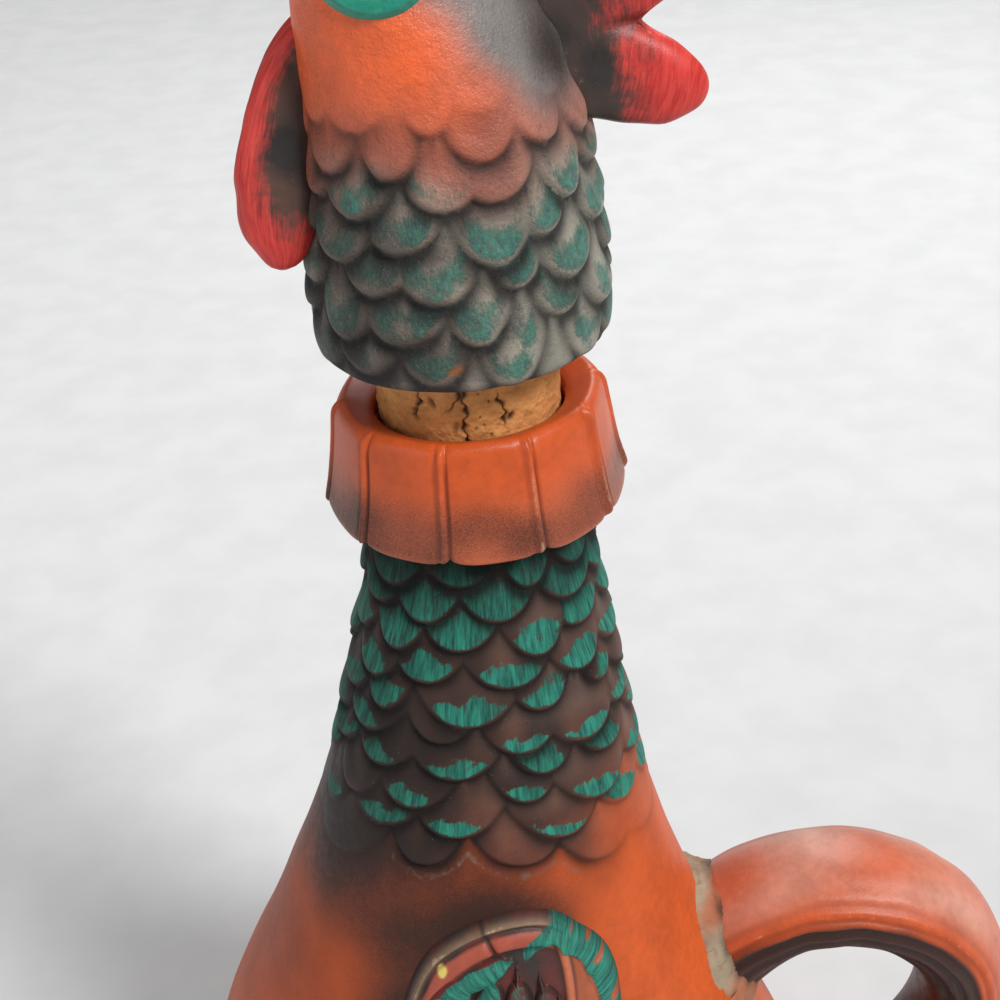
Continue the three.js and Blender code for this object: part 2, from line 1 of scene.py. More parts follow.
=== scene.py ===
import math
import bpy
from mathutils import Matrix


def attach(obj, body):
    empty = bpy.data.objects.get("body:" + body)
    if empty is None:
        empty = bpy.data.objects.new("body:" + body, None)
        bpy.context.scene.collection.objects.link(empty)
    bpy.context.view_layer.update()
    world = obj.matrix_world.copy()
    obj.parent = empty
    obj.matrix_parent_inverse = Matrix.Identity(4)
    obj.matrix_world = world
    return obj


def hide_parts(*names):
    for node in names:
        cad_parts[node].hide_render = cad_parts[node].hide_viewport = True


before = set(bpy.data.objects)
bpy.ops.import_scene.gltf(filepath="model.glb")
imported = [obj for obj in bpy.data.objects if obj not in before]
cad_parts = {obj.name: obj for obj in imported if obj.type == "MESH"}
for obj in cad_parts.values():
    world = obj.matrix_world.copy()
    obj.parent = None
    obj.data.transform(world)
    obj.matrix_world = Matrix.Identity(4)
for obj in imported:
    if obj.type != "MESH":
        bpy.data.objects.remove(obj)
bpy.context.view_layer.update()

from types import SimpleNamespace

import bpy
import numpy as np
from mathutils import Matrix, Vector

# Lengths below are in millimetres, in the frame of the CAD model: +Z up, beak towards -X, handle towards +X.
# Meshes are made in millimetres and scaled to metres by MM. Angles about the vertical count from +X.
MM = 0.001
TURN = 2 * math.pi
FLANK = -math.pi / 2  # the direction of the flank that faces the camera

# Bottle
NECK_TOP = 208.0
TUBE_RADIUS = 17.9
BORE_RADIUS = 15.0
BELLY_LEVEL = 41
BOTTLE_WALL = 4.5
FOOT_ROUND = 4.0
CAPE_TOP = 196.4
CAPE_ROWS = 11
CAPE_PER_ROW = 11
CAPE_PITCH = 5.6
CAPE_DEPTH = 4.8
CAPE_LIP = 0.75
CAPE_LOWEST = 118.0
CAPE_ARC = 25.0  # length of one radian round the feathered neck

# Ruff
RUFF_TOP = 213.8
RUFF_HEM = 195.3
RUFF_PLEATS = 10
RUFF_TURN = math.radians(-12)
RUFF_SEAT = TUBE_RADIUS + 0.3

# Stopper: heights of the head are counted from its rim
HEAD_RIM = 214.1 + 9.5  # the seat on the ruff, and how far the stopper is drawn out at rest
RIM_RADIUS = 23.3
HEAD_HEIGHT = 75.0
HEAD_CAPE_ROWS = 7
HEAD_CAPE_PER_ROW = 12
HEAD_CAPE_PITCH = 6.4
HEAD_CAPE_TOP = 43.7
HEAD_CAPE_DEPTH = 4.2
HEAD_CAPE_LIP = 0.75
CORK_RADIUS = 15.0
CORK_TAPER = 0.055
CORK_LENGTH = 24.0
CORK_HELD = 13.0

# Comb, wattles, beak and eyes
COMB_CENTRE = (-3.5, 46.0)
COMB_ROOT = 17.0
COMB_NOTCH = 33.0
COMB_TIP = 44.0
COMB_LOBES = 5
COMB_FIRST = math.radians(-30)
COMB_LAST = math.radians(121)
COMB_THICKNESS = 9.0
BEAK_LEVEL = 60.0
BEAK_LENGTH = 17.0
BEAK_HEIGHT = 13.0
BEAK_WIDTH = 13.0
EYE_LEVEL = 61.0
EYE_FORWARD = 8.0
EYE_LENGTH = 9.0
EYE_HEIGHT = 7.0

# Handle
HANDLE_WIDTH = 27.0
HANDLE_THICKNESS = 19.0
HANDLE_LOW_SHARE = 0.72
HANDLE_TOP = 86.0
HANDLE_LOW = 33.0
HANDLE_RISE = 13.5
HANDLE_SINK = 9.0
FINGER_GAP = 22.0

# Wing: the middle of its fan of feathers, its relief, and the length of one radian in the fan
WING_CENTRE = (3.0, 107.0)
WING_RISE = 4.6
WING_FEATHERS = 15
WING_ROWS = (0.36, 0.56, 0.77, 1.0)  # reach of each row's tips, as shares of the outline
WING_ARC = 30.0
BACK_STEP = 6  # the hidden back of a wing or an eye patch has one ring for this many in front


def rgb(red, green, blue):
    """A colour of 0 to 255 as it looks on screen, made linear."""
    return tuple(((c / 255 + 0.055) / 1.055) ** 2.4 if c > 10 else c / 3294 for c in (red, green, blue))


# Paints
ORANGE = rgb(193, 79, 31)
ORANGE_RED = rgb(186, 70, 32)
BODY_ORANGE = rgb(196, 84, 34)
RUFF_ORANGE = rgb(200, 83, 33)
FACE_ORANGE = rgb(234, 98, 44)
CHIP_ORANGE = rgb(220, 120, 50)
BRICK = rgb(150, 74, 48)
DUSTY_BRICK = rgb(184, 92, 60)
DUSTY_ROSE = rgb(164, 94, 74)
PAINTED_HIGHLIGHT_ROSE = rgb(200, 138, 118)
# Dark brown of sprayed soot, also used for painted shade
SOOT_AND_SHADE = rgb(38, 28, 24)
UMBER = rgb(58, 40, 35)
WARM_UMBER = rgb(92, 60, 49)
DUSTY_UMBER = rgb(120, 96, 84)
GREY_UMBER = rgb(152, 136, 122)
DARK_UMBER = rgb(94, 78, 68)
CROWN_HIGHLIGHT_UMBER = rgb(184, 168, 152)
RUBBED_UMBER = rgb(134, 106, 92)
RUBBED_GREY = rgb(150, 136, 122)
RUBBED_RUFF = rgb(190, 146, 116)
SAGE_HIGHLIGHT = rgb(178, 182, 166)
NAPE_GREY = rgb(126, 120, 116)
BLACK_BROWN = rgb(16, 12, 11)
TEAL = rgb(46, 142, 119)
DEEP_TEAL = rgb(15, 62, 60)
HEAD_TEAL = rgb(52, 138, 118)
DEEP_HEAD_TEAL = rgb(22, 78, 74)
EYE_TEAL = rgb(40, 150, 124)
DEEP_EYE_TEAL = rgb(26, 122, 104)
RED = rgb(222, 72, 62)
DEEP_RED = rgb(178, 34, 34)
CHARCOAL = rgb(50, 46, 44)
COMB_BROWN = rgb(74, 58, 52)
WATTLE_BROWN = rgb(92, 66, 58)
YELLOW = rgb(214, 184, 96)
DULL_YELLOW = rgb(170, 128, 60)
IRIS_YELLOW = rgb(206, 178, 92)
SPOT_YELLOW = rgb(222, 196, 104)
PUPIL = rgb(14, 12, 12)
BONE = rgb(196, 172, 140)
SLIP = rgb(160, 142, 118)
STAINED_SLIP = rgb(164, 100, 70)
CORK_TAN = rgb(216, 152, 90)
CORK_DARK = rgb(110, 66, 34)
CORK_PIT = rgb(34, 22, 14)
WING_BROWN = rgb(56, 46, 42)
WING_MAROON = rgb(100, 42, 38)
WING_CLAY = rgb(160, 84, 54)
WING_BAND = rgb(166, 80, 62)
WING_RIDGE = rgb(130, 104, 84)
WING_RIB = rgb(192, 108, 74)


# Curves and fields

def smooth(stations):
    """A smooth curve through stations of place and value, level at its ends and wherever it turns."""
    place, value = np.array(stations, float).T
    slope = np.zeros(len(place))
    for i in range(1, len(place) - 1):
        if (value[i] - value[i - 1]) * (value[i + 1] - value[i]) > 0:
            slope[i] = (value[i + 1] - value[i - 1]) / (place[i + 1] - place[i - 1])

    def curve(at):
        at = np.clip(np.asarray(at, float), place[0], place[-1])
        i = np.clip(np.searchsorted(place, at, side="right") - 1, 0, len(place) - 2)
        span = place[i + 1] - place[i]
        t = (at - place[i]) / span
        start = value[i] * (1 + 2 * t) * (1 - t) ** 2 + slope[i] * span * t * (1 - t) ** 2
        end = value[i + 1] * t * t * (3 - 2 * t) + slope[i + 1] * span * t * t * (t - 1)
        return start + end

    return curve


def step(low, high, at):
    """0 below low, 1 above high, smooth between; high may be the smaller one."""
    t = np.clip((np.asarray(at, float) - low) / (high - low), 0, 1)
    return t * t * (3 - 2 * t)


def bell(at, middle, width):
    """1 at the middle, fading to either side over about twice the width."""
    return np.exp(-((at - middle) / width) ** 2)


def dome(at):
    """Height of a half circle: 1 at 0, 0 from 1 on."""
    return np.sqrt(np.clip(1 - at ** 2, 0, 1))


def rounded(at):
    """Rise of a quarter circle: 0 at 0, level from 1 on."""
    return dome(1 - np.clip(at, 0, 1))


def ripple(points, size, seed):
    """A smooth irregular field of about -1 to 1 with swells of the given size."""
    waves = 16
    rng = np.random.default_rng(seed)
    total = np.zeros(points.shape[:-1])
    for _ in range(waves):
        direction = rng.normal(size=points.shape[-1])
        direction *= TURN / (size * rng.uniform(0.7, 1.5) * np.linalg.norm(direction))
        total += np.sin(points @ direction + rng.uniform(0, TURN))
    return total / math.sqrt(waves / 2) / 1.6


def patchy(points, middle, swing, size, seed):
    """Shares from 0 to 1 in irregular patches about a middle share."""
    return np.clip(middle + swing * ripple(points, size, seed), 0, 1)


def blend(low, high, share):
    """Two colours or fields of colours, mixed by a field of shares."""
    share = np.asarray(share)[..., None]
    return np.asarray(low) * (1 - share) + np.asarray(high) * share


def stacked(*parts):
    """Fields of matching shapes as the parts of one field of vectors."""
    return np.stack(np.broadcast_arrays(*parts), axis=-1)


def ring(count):
    """Angles of a closed ring."""
    return np.linspace(0, TURN, count, endpoint=False)


def turned_grid(radius, angle, height, middle=0.0):
    """Points at angles, radii and heights about an upright axis."""
    return stacked(middle + radius * np.cos(angle), radius * np.sin(angle), height)


def uneven(grid, angle, amount, size, seed):
    """A grid about an upright axis, pressed in and out a little as hand-made ware is."""
    return grid + amount * ripple(grid, size, seed)[..., None] * turned_grid(1, angle, 0)


def soften(field):
    """A field over rows and closed rings, with its steps rounded off."""
    field = 0.25 * np.roll(field, 1, axis=1) + 0.5 * field + 0.25 * np.roll(field, -1, axis=1)
    tall = np.concatenate([field[:1], field, field[-1:]])
    return 0.25 * tall[:-2] + 0.5 * field + 0.25 * tall[2:]


class Feathers:
    """Rows of overlapping feathers over an angle and a height; upper rows cover the tops of lower ones."""

    def __init__(self, tips, per_turn, depth, width, phases, wobble, seed):
        self.tips = tips  # for each row, the height of the tips as a function of the angle
        self.per_turn = per_turn
        self.depth = depth  # for each row, how far a hem climbs from its tip to the neighbour's
        self.width = width  # half width of a hem at that climb, in spacings
        self.phases = phases  # angle of one tip in even and in odd rows
        rng = np.random.default_rng(seed)
        count = (len(tips), per_turn)
        self.shift = rng.uniform(-1, 1, count) * wobble * 0.12
        self.drop = rng.uniform(-1, 1, count) * wobble
        self.stretch = 1 + rng.uniform(-1, 1, count) * wobble * 0.16
        self.chance = rng.random(count)

    def hems(self, angle):
        """For each row and angle: heights of hem and tip, place across the feather, and its number."""
        height = np.full((len(self.tips), len(angle)), np.inf)
        across = np.zeros_like(height)
        lowest = np.zeros_like(height)
        number = np.zeros(height.shape, int)
        for row, tip in enumerate(self.tips):
            place = (angle - self.phases[row % 2]) * self.per_turn / TURN
            nearest = np.round(place).astype(int)
            for neighbour in (-1, 0, 1):
                feather = (nearest + neighbour) % self.per_turn
                width = self.width * self.stretch[row, feather]
                offset = (place - nearest - neighbour + self.shift[row, feather]) / width
                bottom = tip(angle) + self.drop[row, feather]
                hem = bottom + self.depth[row] * np.abs(offset) ** 2.1
                lower = hem < height[row]
                for kept, new in ((height, hem), (lowest, bottom), (across, offset), (number, feather)):
                    kept[row, lower] = new[lower]
        return height, lowest, across, number

    def over(self, angle, height, arc):
        """What shows at each angle (columns) and height (grid), with arc the length of one radian."""
        hem, lowest, across, number = self.hems(angle)
        rows = len(self.tips)
        row = np.full(height.shape, rows)
        for i in range(rows - 1, -1, -1):
            row = np.where(height >= hem[i], i, row)
        # Distances from a hem are square to it, with the steeper slope where two feathers meet
        rising = np.abs(np.roll(hem, -1, axis=1) - hem)
        slope = np.maximum(rising, np.roll(rising, 1, axis=1)) / ((angle[1] - angle[0]) * arc)
        lean = np.sqrt(1 + slope ** 2)
        gap = np.full(height.shape, 50.0)
        cover = np.zeros(height.shape)
        for i in range(rows):
            under = hem[i] - height
            under = under / (1 + (lean[i] - 1) * bell(np.clip(under, 0, 30), 0, 4))
            nearer = (row > i) & (under < gap)
            gap = np.where(nearer, under, gap)
            cover = np.where(nearer, np.abs(across[i]), cover)
        own = np.minimum(row, rows - 1)
        column = np.broadcast_to(np.arange(len(angle)), height.shape)
        rise = (height - hem[own, column]) / lean[own, column]
        return SimpleNamespace(
            row=row,
            shows=row < rows,
            rise=np.where(row < rows, rise, 0),  # distance above the feather's own hem
            above=height - lowest[own, column],  # height above its tip
            across=across[own, column],
            chance=self.chance[own, number[own, column]],
            gap=gap,  # distance below the nearest covering hem
            cover=cover,  # place across that covering feather
        )


def crevice(field, width):
    """1 right below a covering hem, fading over a width and towards the hem's corners."""
    return np.exp(-(field.gap / width) ** 1.3) * (1 - 0.5 * step(0.5, 1.1, field.cover))


def relief(field, lip, edge, length, pillow):
    """Height of feathers: a round lip at the hem, fading to corners and root, and a pillow across."""
    rim = rounded(field.rise / edge)
    fall = 1 - 0.85 * step(0, length, field.rise)
    corner = 1 - 0.6 * step(0.4, 1.05, np.abs(field.across))
    crown = pillow * np.clip(1 - field.across ** 2, 0, 1) * rim
    tucked = 0.6 * lip * crevice(field, 0.8 * edge)
    return np.where(field.shows, (lip * corner * rim + crown) * fall, 0) - tucked


def dabs(field, arc, height, seed):
    """Teal dabs of a brush: crescents of many sizes that hug the hem of a feather; above 0 inside a dab."""
    chance = field.chance
    centre = (chance * 7 % 1 - 0.5) * 0.5
    wide = 0.74 + 0.3 * (chance * 29 % 1)
    top = 3.7 + 2.2 * (chance * 5 % 1) + (chance * 11 % 1 - 0.5) * 2.2 * field.across
    top = top - 2.0 * ((field.across - centre) / wide) ** 2
    place = stacked(arc, 1.3 * height, field.row * 31.0)
    top = top + 0.8 * ripple(place, 4.0, seed) + 0.4 * ripple(place, 1.6, seed + 1)
    upper = (top - field.above) / 1.3
    lower = (field.rise - 0.7 - 0.3 * ripple(place, 3.0, seed + 2)) / 0.6
    aside = (wide - np.abs(field.across - centre)) / 0.16
    return np.minimum(np.minimum(upper, lower), aside)


# Meshes

ATTRIBUTE_KINDS = {"base": ("FLOAT_COLOR", "color"), "brush": ("FLOAT_VECTOR", "vector")}


def piece(name, grid, body, node, slot, material, around=True, capped=True, flip=False, **masks):
    """A mesh through a grid of points, in rows of rings, that stands for a CAD node and rides on its body.

    The masks are fields over the grid that the material reads; one that is left out counts as 0.
    """
    rows, columns = grid.shape[:2]
    ends = (0, -1) if capped else ()

    def with_caps(field):
        """Values at the grid's points, then their means at the middles of the caps."""
        middles = [field[end].mean(axis=0, keepdims=True) for end in ends]
        return np.concatenate([field.reshape(rows * columns, -1), *middles])

    index = np.arange(rows * columns).reshape(rows, columns)
    here = index if around else index[:, :-1]
    beside = np.roll(index, -1, axis=1) if around else index[:, 1:]
    quads = np.stack([here[:-1], beside[:-1], beside[1:], here[1:]], axis=-1).reshape(-1, 4)
    fans = [np.zeros((0, 3), int)]
    for number, end in enumerate(ends):
        rim = (here[end], beside[end]) if end else (beside[end], here[end])
        fans.append(stacked(rows * columns + number, *rim))
    triangles = np.concatenate(fans)
    if flip:
        quads = quads[:, ::-1]
        triangles = triangles[:, ::-1]
    points = with_caps(grid) * MM
    mesh = bpy.data.meshes.new(name)
    mesh.vertices.add(len(points))
    mesh.vertices.foreach_set("co", points.ravel())
    corners = np.concatenate([quads.ravel(), triangles.ravel()])
    starts = np.concatenate([np.arange(len(quads)) * 4, len(quads) * 4 + np.arange(len(triangles)) * 3])
    mesh.loops.add(len(corners))
    mesh.loops.foreach_set("vertex_index", corners)
    mesh.polygons.add(len(starts))
    mesh.polygons.foreach_set("loop_start", starts)
    mesh.update(calc_edges=True)
    mesh.validate()
    mesh.shade_smooth()
    for key, mask in masks.items():
        kind, entry = ATTRIBUTE_KINDS.get(key, ("FLOAT", "value"))
        mask = np.asarray(mask, float)
        if kind == "FLOAT":
            data = np.clip(with_caps(np.broadcast_to(mask, (rows, columns))[..., None]), 0, 1)
        else:
            data = with_caps(mask)
        if kind == "FLOAT_COLOR":
            data = np.c_[data, np.ones(len(data))]
        attribute = mesh.attributes.new(key, kind, "POINT")
        attribute.data.foreach_set(entry, data.ravel())
    thing = bpy.data.objects.new(name, mesh)
    bpy.context.scene.collection.objects.link(thing)
    mesh.materials.append(material)
    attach(thing, body)
    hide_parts(node)


def lined(field):
    """A field over the front of a patch, followed by the same over its hidden back."""
    return np.concatenate([field, field[::-BACK_STEP]])


def with_inside(shape, last, **masks):
    """Masks over a hollow piece: a field outside and one value inside, whose rings come last or first."""
    whole = {}
    for key, (outside, value) in masks.items():
        inside = np.broadcast_to(value, shape + outside.shape[2:])
        whole[key] = np.concatenate([outside, inside] if last else [inside, outside])
    return whole


# Materials

class Shader:
    """A material's node tree, with short helpers for the nodes used here."""

    def __init__(self, name):
        self.material = bpy.data.materials.new(name)
        self.material.use_nodes = True
        self.tree = self.material.node_tree
        self.surface = self.tree.nodes["Principled BSDF"]

    def put(self, value, socket):
        if isinstance(value, bpy.types.NodeSocket):
            self.tree.links.new(value, socket)
        elif isinstance(value, tuple) and len(value) == 3 and socket.type == "RGBA":
            socket.default_value = (*value, 1)
        else:
            socket.default_value = value

    def add(self, kind, output, inputs, **settings):
        """One of a new node's outputs, with the node's settings and inputs given."""
        node = self.tree.nodes.new("ShaderNode" + kind)
        for key, setting in settings.items():
            setattr(node, key, setting)
        for key, value in inputs.items():
            self.put(value, node.inputs[key])
        return node.outputs[output]

    def attribute(self, name, output="Fac"):
        return self.add("Attribute", output, {}, attribute_name=name)

    def place(self):
        return self.add("TexCoord", "Object", {})

    def stretch(self, vector, scale):
        return self.add("Mapping", "Vector", {"Vector": vector, "Scale": scale})

    def noise(self, vector, scale, detail=3.0, roughness=0.55):
        inputs = {"Vector": vector, "Scale": scale, "Detail": detail, "Roughness": roughness}
        return self.add("TexNoise", "Fac", inputs)

    def cells(self, vector, scale):
        return self.add("TexVoronoi", "Distance", {"Vector": vector, "Scale": scale})

    def math(self, operation, first, second=0.0, third=0.0):
        return self.add("Math", "Value", {0: first, 1: second, 2: third}, operation=operation)

    def plus(self, value, field, amount):
        """A value with an amount of a field added."""
        return self.math("MULTIPLY_ADD", field, amount, value)

    def swayed(self, value, noise, amount):
        """A value that swings with a noise about the noise's middle."""
        return self.plus(value, self.math("SUBTRACT", noise, 0.5), amount)

    def between(self, value, low, high, to_low=0.0, to_high=1.0):
        inputs = {0: value, 1: low, 2: high, 3: to_low, 4: to_high}
        return self.add("MapRange", "Result", inputs, interpolation_type="SMOOTHSTEP")

    def mix(self, share, first, second, mode="MIX"):
        return self.add("Mix", 2, {0: share, 6: first, 7: second}, data_type="RGBA", blend_type=mode)

    def grey(self, value):
        return self.add("CombineColor", "Color", {0: value, 1: value, 2: value})

    def bump(self, height, strength, distance):
        return self.add("Bump", "Normal", {"Strength": strength, "Distance": distance, "Height": height})

    def finish(self, colour, roughness, normal, specular):
        sockets = ("Base Color", "Roughness", "Normal", "Specular IOR Level")
        for key, value in zip(sockets, (colour, roughness, normal, specular)):
            self.put(value, self.surface.inputs[key])
        return self.material


def painted_clay(name, coat, deep_coat, worn, gloss=0.42, coat_gloss=0.55, grain=0.5, specular=0.35,
                 soft=0.09, cover=1.0, speckle=0.3, grit=3400, dust=0.3, pits=0.00022):
    """Cold-painted clay: a base colour, a brushed coat, soot and painted shade, wear and painted highlights,
    dark recesses with painted shade.
    """
    s = Shader(name)
    place = s.place()
    brush = s.attribute("brush", "Vector")
    cloud = s.noise(place, 130)
    mottle = s.noise(place, 620, 4, 0.6)
    fine = s.noise(place, grit, 2, 0.7)
    streaks = s.noise(s.stretch(brush, (1.0, 0.1, 1.0)), 2.4, 4, 0.7)
    wide_streaks = s.noise(s.stretch(brush, (0.6, 0.12, 1.0)), 1.44)
    tone = s.math("ADD", s.between(cloud, 0.3, 0.7, 0.88, 1.06), s.between(mottle, 0.25, 0.75, -0.08, 0.08))
    colour = s.mix(1.0, s.attribute("base", "Color"), s.grey(tone), "MULTIPLY")

    coat_at = s.swayed(s.swayed(s.attribute("coat"), streaks, 0.85), mottle, 0.6)
    coat_share = s.between(coat_at, 0.48 - soft, 0.48 + soft, 0.0, cover)
    coat_tone = s.between(s.plus(s.math("MULTIPLY", wide_streaks, 0.8), streaks, 0.7), 0.48, 1.0)
    colour = s.mix(coat_share, colour, s.mix(coat_tone, deep_coat, coat))

    # Sprayed soot, and painted shade that shares its mask, darken the colour
    soot_and_shade_at = s.swayed(s.swayed(s.attribute("soot"), fine, speckle), mottle, 0.25)
    colour = s.mix(s.between(soot_and_shade_at, 0.08, 1.0, 0.0, 0.96), colour, SOOT_AND_SHADE)

    # Wear, and painted highlights that share its mask, lighten the colour
    rubbed = s.swayed(s.swayed(s.attribute("worn"), mottle, 1.3), fine, 0.6)
    worn_share = s.between(rubbed, 0.42, 0.85, 0.0, 0.8)
    colour = s.mix(worn_share, colour, worn)
    # Recesses darken towards black brown: dark paint and painted shade
    deep = s.attribute("deep")
    colour = s.mix(s.math("MULTIPLY", deep, 0.94), colour, BLACK_BROWN)
    specks = s.between(s.noise(place, 4300, 1), 0.75, 0.79, 0.0, dust)
    colour = s.mix(specks, colour, BONE)

    roughness = s.swayed(s.plus(gloss, coat_share, coat_gloss - gloss), mottle, 0.22)
    roughness = s.plus(s.plus(roughness, worn_share, 0.2), deep, 0.35)
    height = s.plus(s.math("MULTIPLY", mottle, 0.8), fine, 0.55)
    height = s.plus(height, s.math("MULTIPLY", coat_share, streaks), 0.9)
    return s.finish(colour, roughness, s.bump(height, grain, pits), specular)


def cork_bark():
    """Cork: tan cells with darker growth bands, and near-black pits and cracks: their own dark and painted
    shade.
    """
    s = Shader("cork_bark")
    place = s.place()
    cells = s.cells(place, 1500)
    cloud = s.noise(place, 260, 4, 0.6)
    bands = s.noise(s.stretch(place, (1.0, 1.0, 3.0)), 420)
    tone = s.math("ADD", s.between(cloud, 0.3, 0.72, 0.0, 0.6), s.between(bands, 0.45, 0.75, 0.0, 0.4))
    colour = s.mix(s.math("MULTIPLY", tone, 0.55), CORK_TAN, CORK_DARK)
    colour = s.mix(s.between(cells, 0.0, 0.35, 0.22, 0.0), colour, CORK_DARK)
    # Near black in pits and cracks: their own dark and painted shade
    colour = s.mix(s.attribute("deep"), colour, CORK_PIT)
    return s.finish(colour, 0.82, s.bump(s.plus(cloud, cells, 0.6), 0.6, 0.0003), 0.25)


# Bottle

bottle_radius = smooth([
    (0, 46), (13, 57), (BELLY_LEVEL, 63.5), (75, 53.4), (105, 40.1), (135, 29.6), (165, 22.9), (184, 19.5),
    (NECK_TOP, TUBE_RADIUS),
])
bottle_middle = smooth([(0, -4.5), (75, -7.5), (165, -1.5), (NECK_TOP, 0)])


def cape_tip(row):
    share = row / CAPE_ROWS
    level = CAPE_TOP - CAPE_DEPTH - row * CAPE_PITCH
    return lambda angle: level - share * (6.0 * np.cos(angle) ** 2 + 2.0 * np.cos(angle))


cape = Feathers(
    tips=[cape_tip(row) for row in range(CAPE_ROWS)],
    per_turn=CAPE_PER_ROW,
    depth=[0.8 * CAPE_DEPTH] * CAPE_ROWS,
    width=0.5,
    phases=(FLANK + math.radians(9), FLANK + math.radians(-11)),
    wobble=1.5,
    seed=4,
)

wing_reach = smooth([
    (0, 14.5), (60, 17.5), (85, 21), (135, 23.5), (180, 25.5), (215, 37), (250, 56), (283, 64), (310, 50),
    (340, 22), (360, 14.5),
])


def wing_outline(angle):
    """Reach of a wing from its middle, at an angle in the flank's plane, from the tail upwards."""
    return wing_reach(np.degrees(angle) % 360)


def make_bottle():
    angle = ring(468)
    foot = [0, 0.25, 0.8, 1.8, 3.0, 4.5]
    body = np.linspace(6.5, CAPE_LOWEST, 56)
    neck = np.arange(CAPE_LOWEST + 0.4, CAPE_TOP, 0.34)
    levels = np.concatenate([foot, body, neck, [201.5, 204.5, NECK_TOP - 0.4, NECK_TOP]])
    height = np.repeat(levels[:, None], len(angle), axis=1)
    field = cape.over(angle, height, CAPE_ARC)
    rows = field.row
    rise = field.rise
    chance = field.chance
    shows = field.shows & (height <= CAPE_TOP)
    stand = relief(field, CAPE_LIP, 1.2, 7, 0.5) - 0.3 * field.shows
    # The last rows melt into the body at breast and tail
    gone = step(CAPE_ROWS - 3.5, CAPE_ROWS - 1, rows) * step(0.45, 0.85, np.abs(np.cos(angle)))
    stand = soften(np.where(height > CAPE_TOP, 0, stand * (1 - 0.85 * gone)))
    stand -= FOOT_ROUND * 0.6 * (1 - np.clip(height / FOOT_ROUND, 0, 1)) ** 2
    grid = turned_grid(bottle_radius(height) + stand, angle, height, bottle_middle(height))
    grid = uneven(grid, angle, 0.12, 16, 3)
    grid[0, :, 2] = 0

    # Umber feathers with teal dabs; upper rows are nearly all teal, the last turn orange to the tail
    breast = -grid[..., 0]
    late = step(CAPE_ROWS - 2.8, CAPE_ROWS - 0.9, rows)
    umber = blend(UMBER, WARM_UMBER, np.clip(0.45 + 0.5 * ripple(grid, 9, 7) - breast * 0.02, 0, 1))
    umber = blend(umber, DUSTY_UMBER, 0.45 * step(3.5, 7.5, field.above) * step(14, -12, breast))
    umber = blend(umber, BRICK, late * step(18, -10, breast) * 0.3)
    umber = blend(umber, BODY_ORANGE, 0.8 * gone * step(0, -14, breast))
    base = np.where(shows[..., None], umber, BODY_ORANGE)
    full = step(4.6, 2.2, rows + chance)
    dab = dabs(field, angle * CAPE_ARC, height, 8) + 3.4 * full
    painted = ((chance > 0.1) | (full > 0.3)) & (rows < CAPE_ROWS - 1)
    coat = step(-0.7, 0.9, dab) * step(0.4, 1.3, rise) * shows
    coat *= np.where(painted, 0.72 - 0.1 * full, 0.0) * (1 - 0.08 * step(4, 18, breast))

    # The body in orange, with sprayed shade below the cape, round the wing and along the breast;
    # flank is how far a point lies forward of the flank's middle, round the shoulder
    below = np.where(shows, 0, field.gap)
    flank = (np.arctan2(np.abs(grid[..., 1]), grid[..., 0] - bottle_middle(height)) - math.pi / 2) * 30
    shade = bell(below, 0, 12) * (0.2 + 0.6 * step(-6, 14, flank))
    cloud = 0.94 * bell(flank, 5, 17) * bell(height, 127, 10)
    veil = 0.44 * step(-4, 22, flank) * step(66, 112, height)
    across = grid[..., 0] - WING_CENTRE[0]
    up = height - WING_CENTRE[1]
    outside = np.hypot(across, up) - wing_outline(np.arctan2(up, across))
    halo = 0.78 * bell(np.clip(outside, 0, 60), 0, 5.5) * step(16, -10, across) * (np.abs(grid[..., 1]) > 8)
    sprayed = 1 - (1 - shade) * (1 - cloud) * (1 - veil) * (1 - halo)
    # Feathers darker at random and towards the breast; the darker upper rows are painted shade under the ruff
    dim = 0.08 + 0.14 * step(3.5, 0.5, rows) + 0.5 * step(0, 20, breast) + 0.22 * (chance * 3 % 1)
    dim = dim * (1 - 0.5 * late * step(8, -14, breast)) * (1 - 0.5 * step(0.2, 0.6, coat))
    soot = np.where(shows, dim, sprayed)
    soot += 0.1 * ripple(grid, 20, 5) * np.clip(2 * soot, 0, 1) * step(100, 120, height)
    # Recesses in dark paint and painted shade below each covering hem and at each lip; the band below the
    # ruff is painted shadow
    deep = 0.85 * crevice(field, 1.0) + 0.55 * crevice(field, 3.4) + 0.6 * shows * step(1.1, 0.1, rise)
    deep = deep * (1 - 0.8 * gone) + 0.75 * step(CAPE_TOP - 20, CAPE_TOP - 3, height)
    pale_line = 0.58 * bell(below, 1.9, 1.3) * (1 - gone)
    worn = np.where(shows, 0.3 * step(0.6, 1.0, np.abs(field.across)), pale_line)
    worn += 0.2 * step(1.5, 0, height)
    brush = stacked(angle * CAPE_ARC, height, rows * 9.7)

    # The neck's bore and the inside wall close the shell, darkened inside with painted shade
    bore = [(NECK_TOP, BORE_RADIUS + 0.8, 0), (NECK_TOP - 0.6, BORE_RADIUS + 0.5, 0), (187, BORE_RADIUS, 0)]
    wall = [(level, bottle_radius(level) - BOTTLE_WALL, bottle_middle(level))
            for level in (165, 135, 105, 75, BELLY_LEVEL, 20, 7)]
    inner = [*bore, *wall, (4.6, 40.0, bottle_middle(4.6))]
    inside = np.stack([turned_grid(radius, angle, level, middle) for level, radius, middle in inner])
    masks = with_inside(
        inside.shape[:2], True, base=(base, ORANGE_RED), coat=(coat, 0), soot=(soot, 0.3), worn=(worn, 0),
        deep=(soften(np.clip(deep, 0, 1)), 0.3), brush=(brush, 0))
    paint = painted_clay("bottle_paint", TEAL, DEEP_TEAL, RUBBED_UMBER, gloss=0.46, coat_gloss=0.6,
                         specular=0.25, soft=0.15)
    piece("bottle_shell", np.concatenate([grid, inside]), "bottle", "bottle", "redware", paint, **masks)


# Ruff

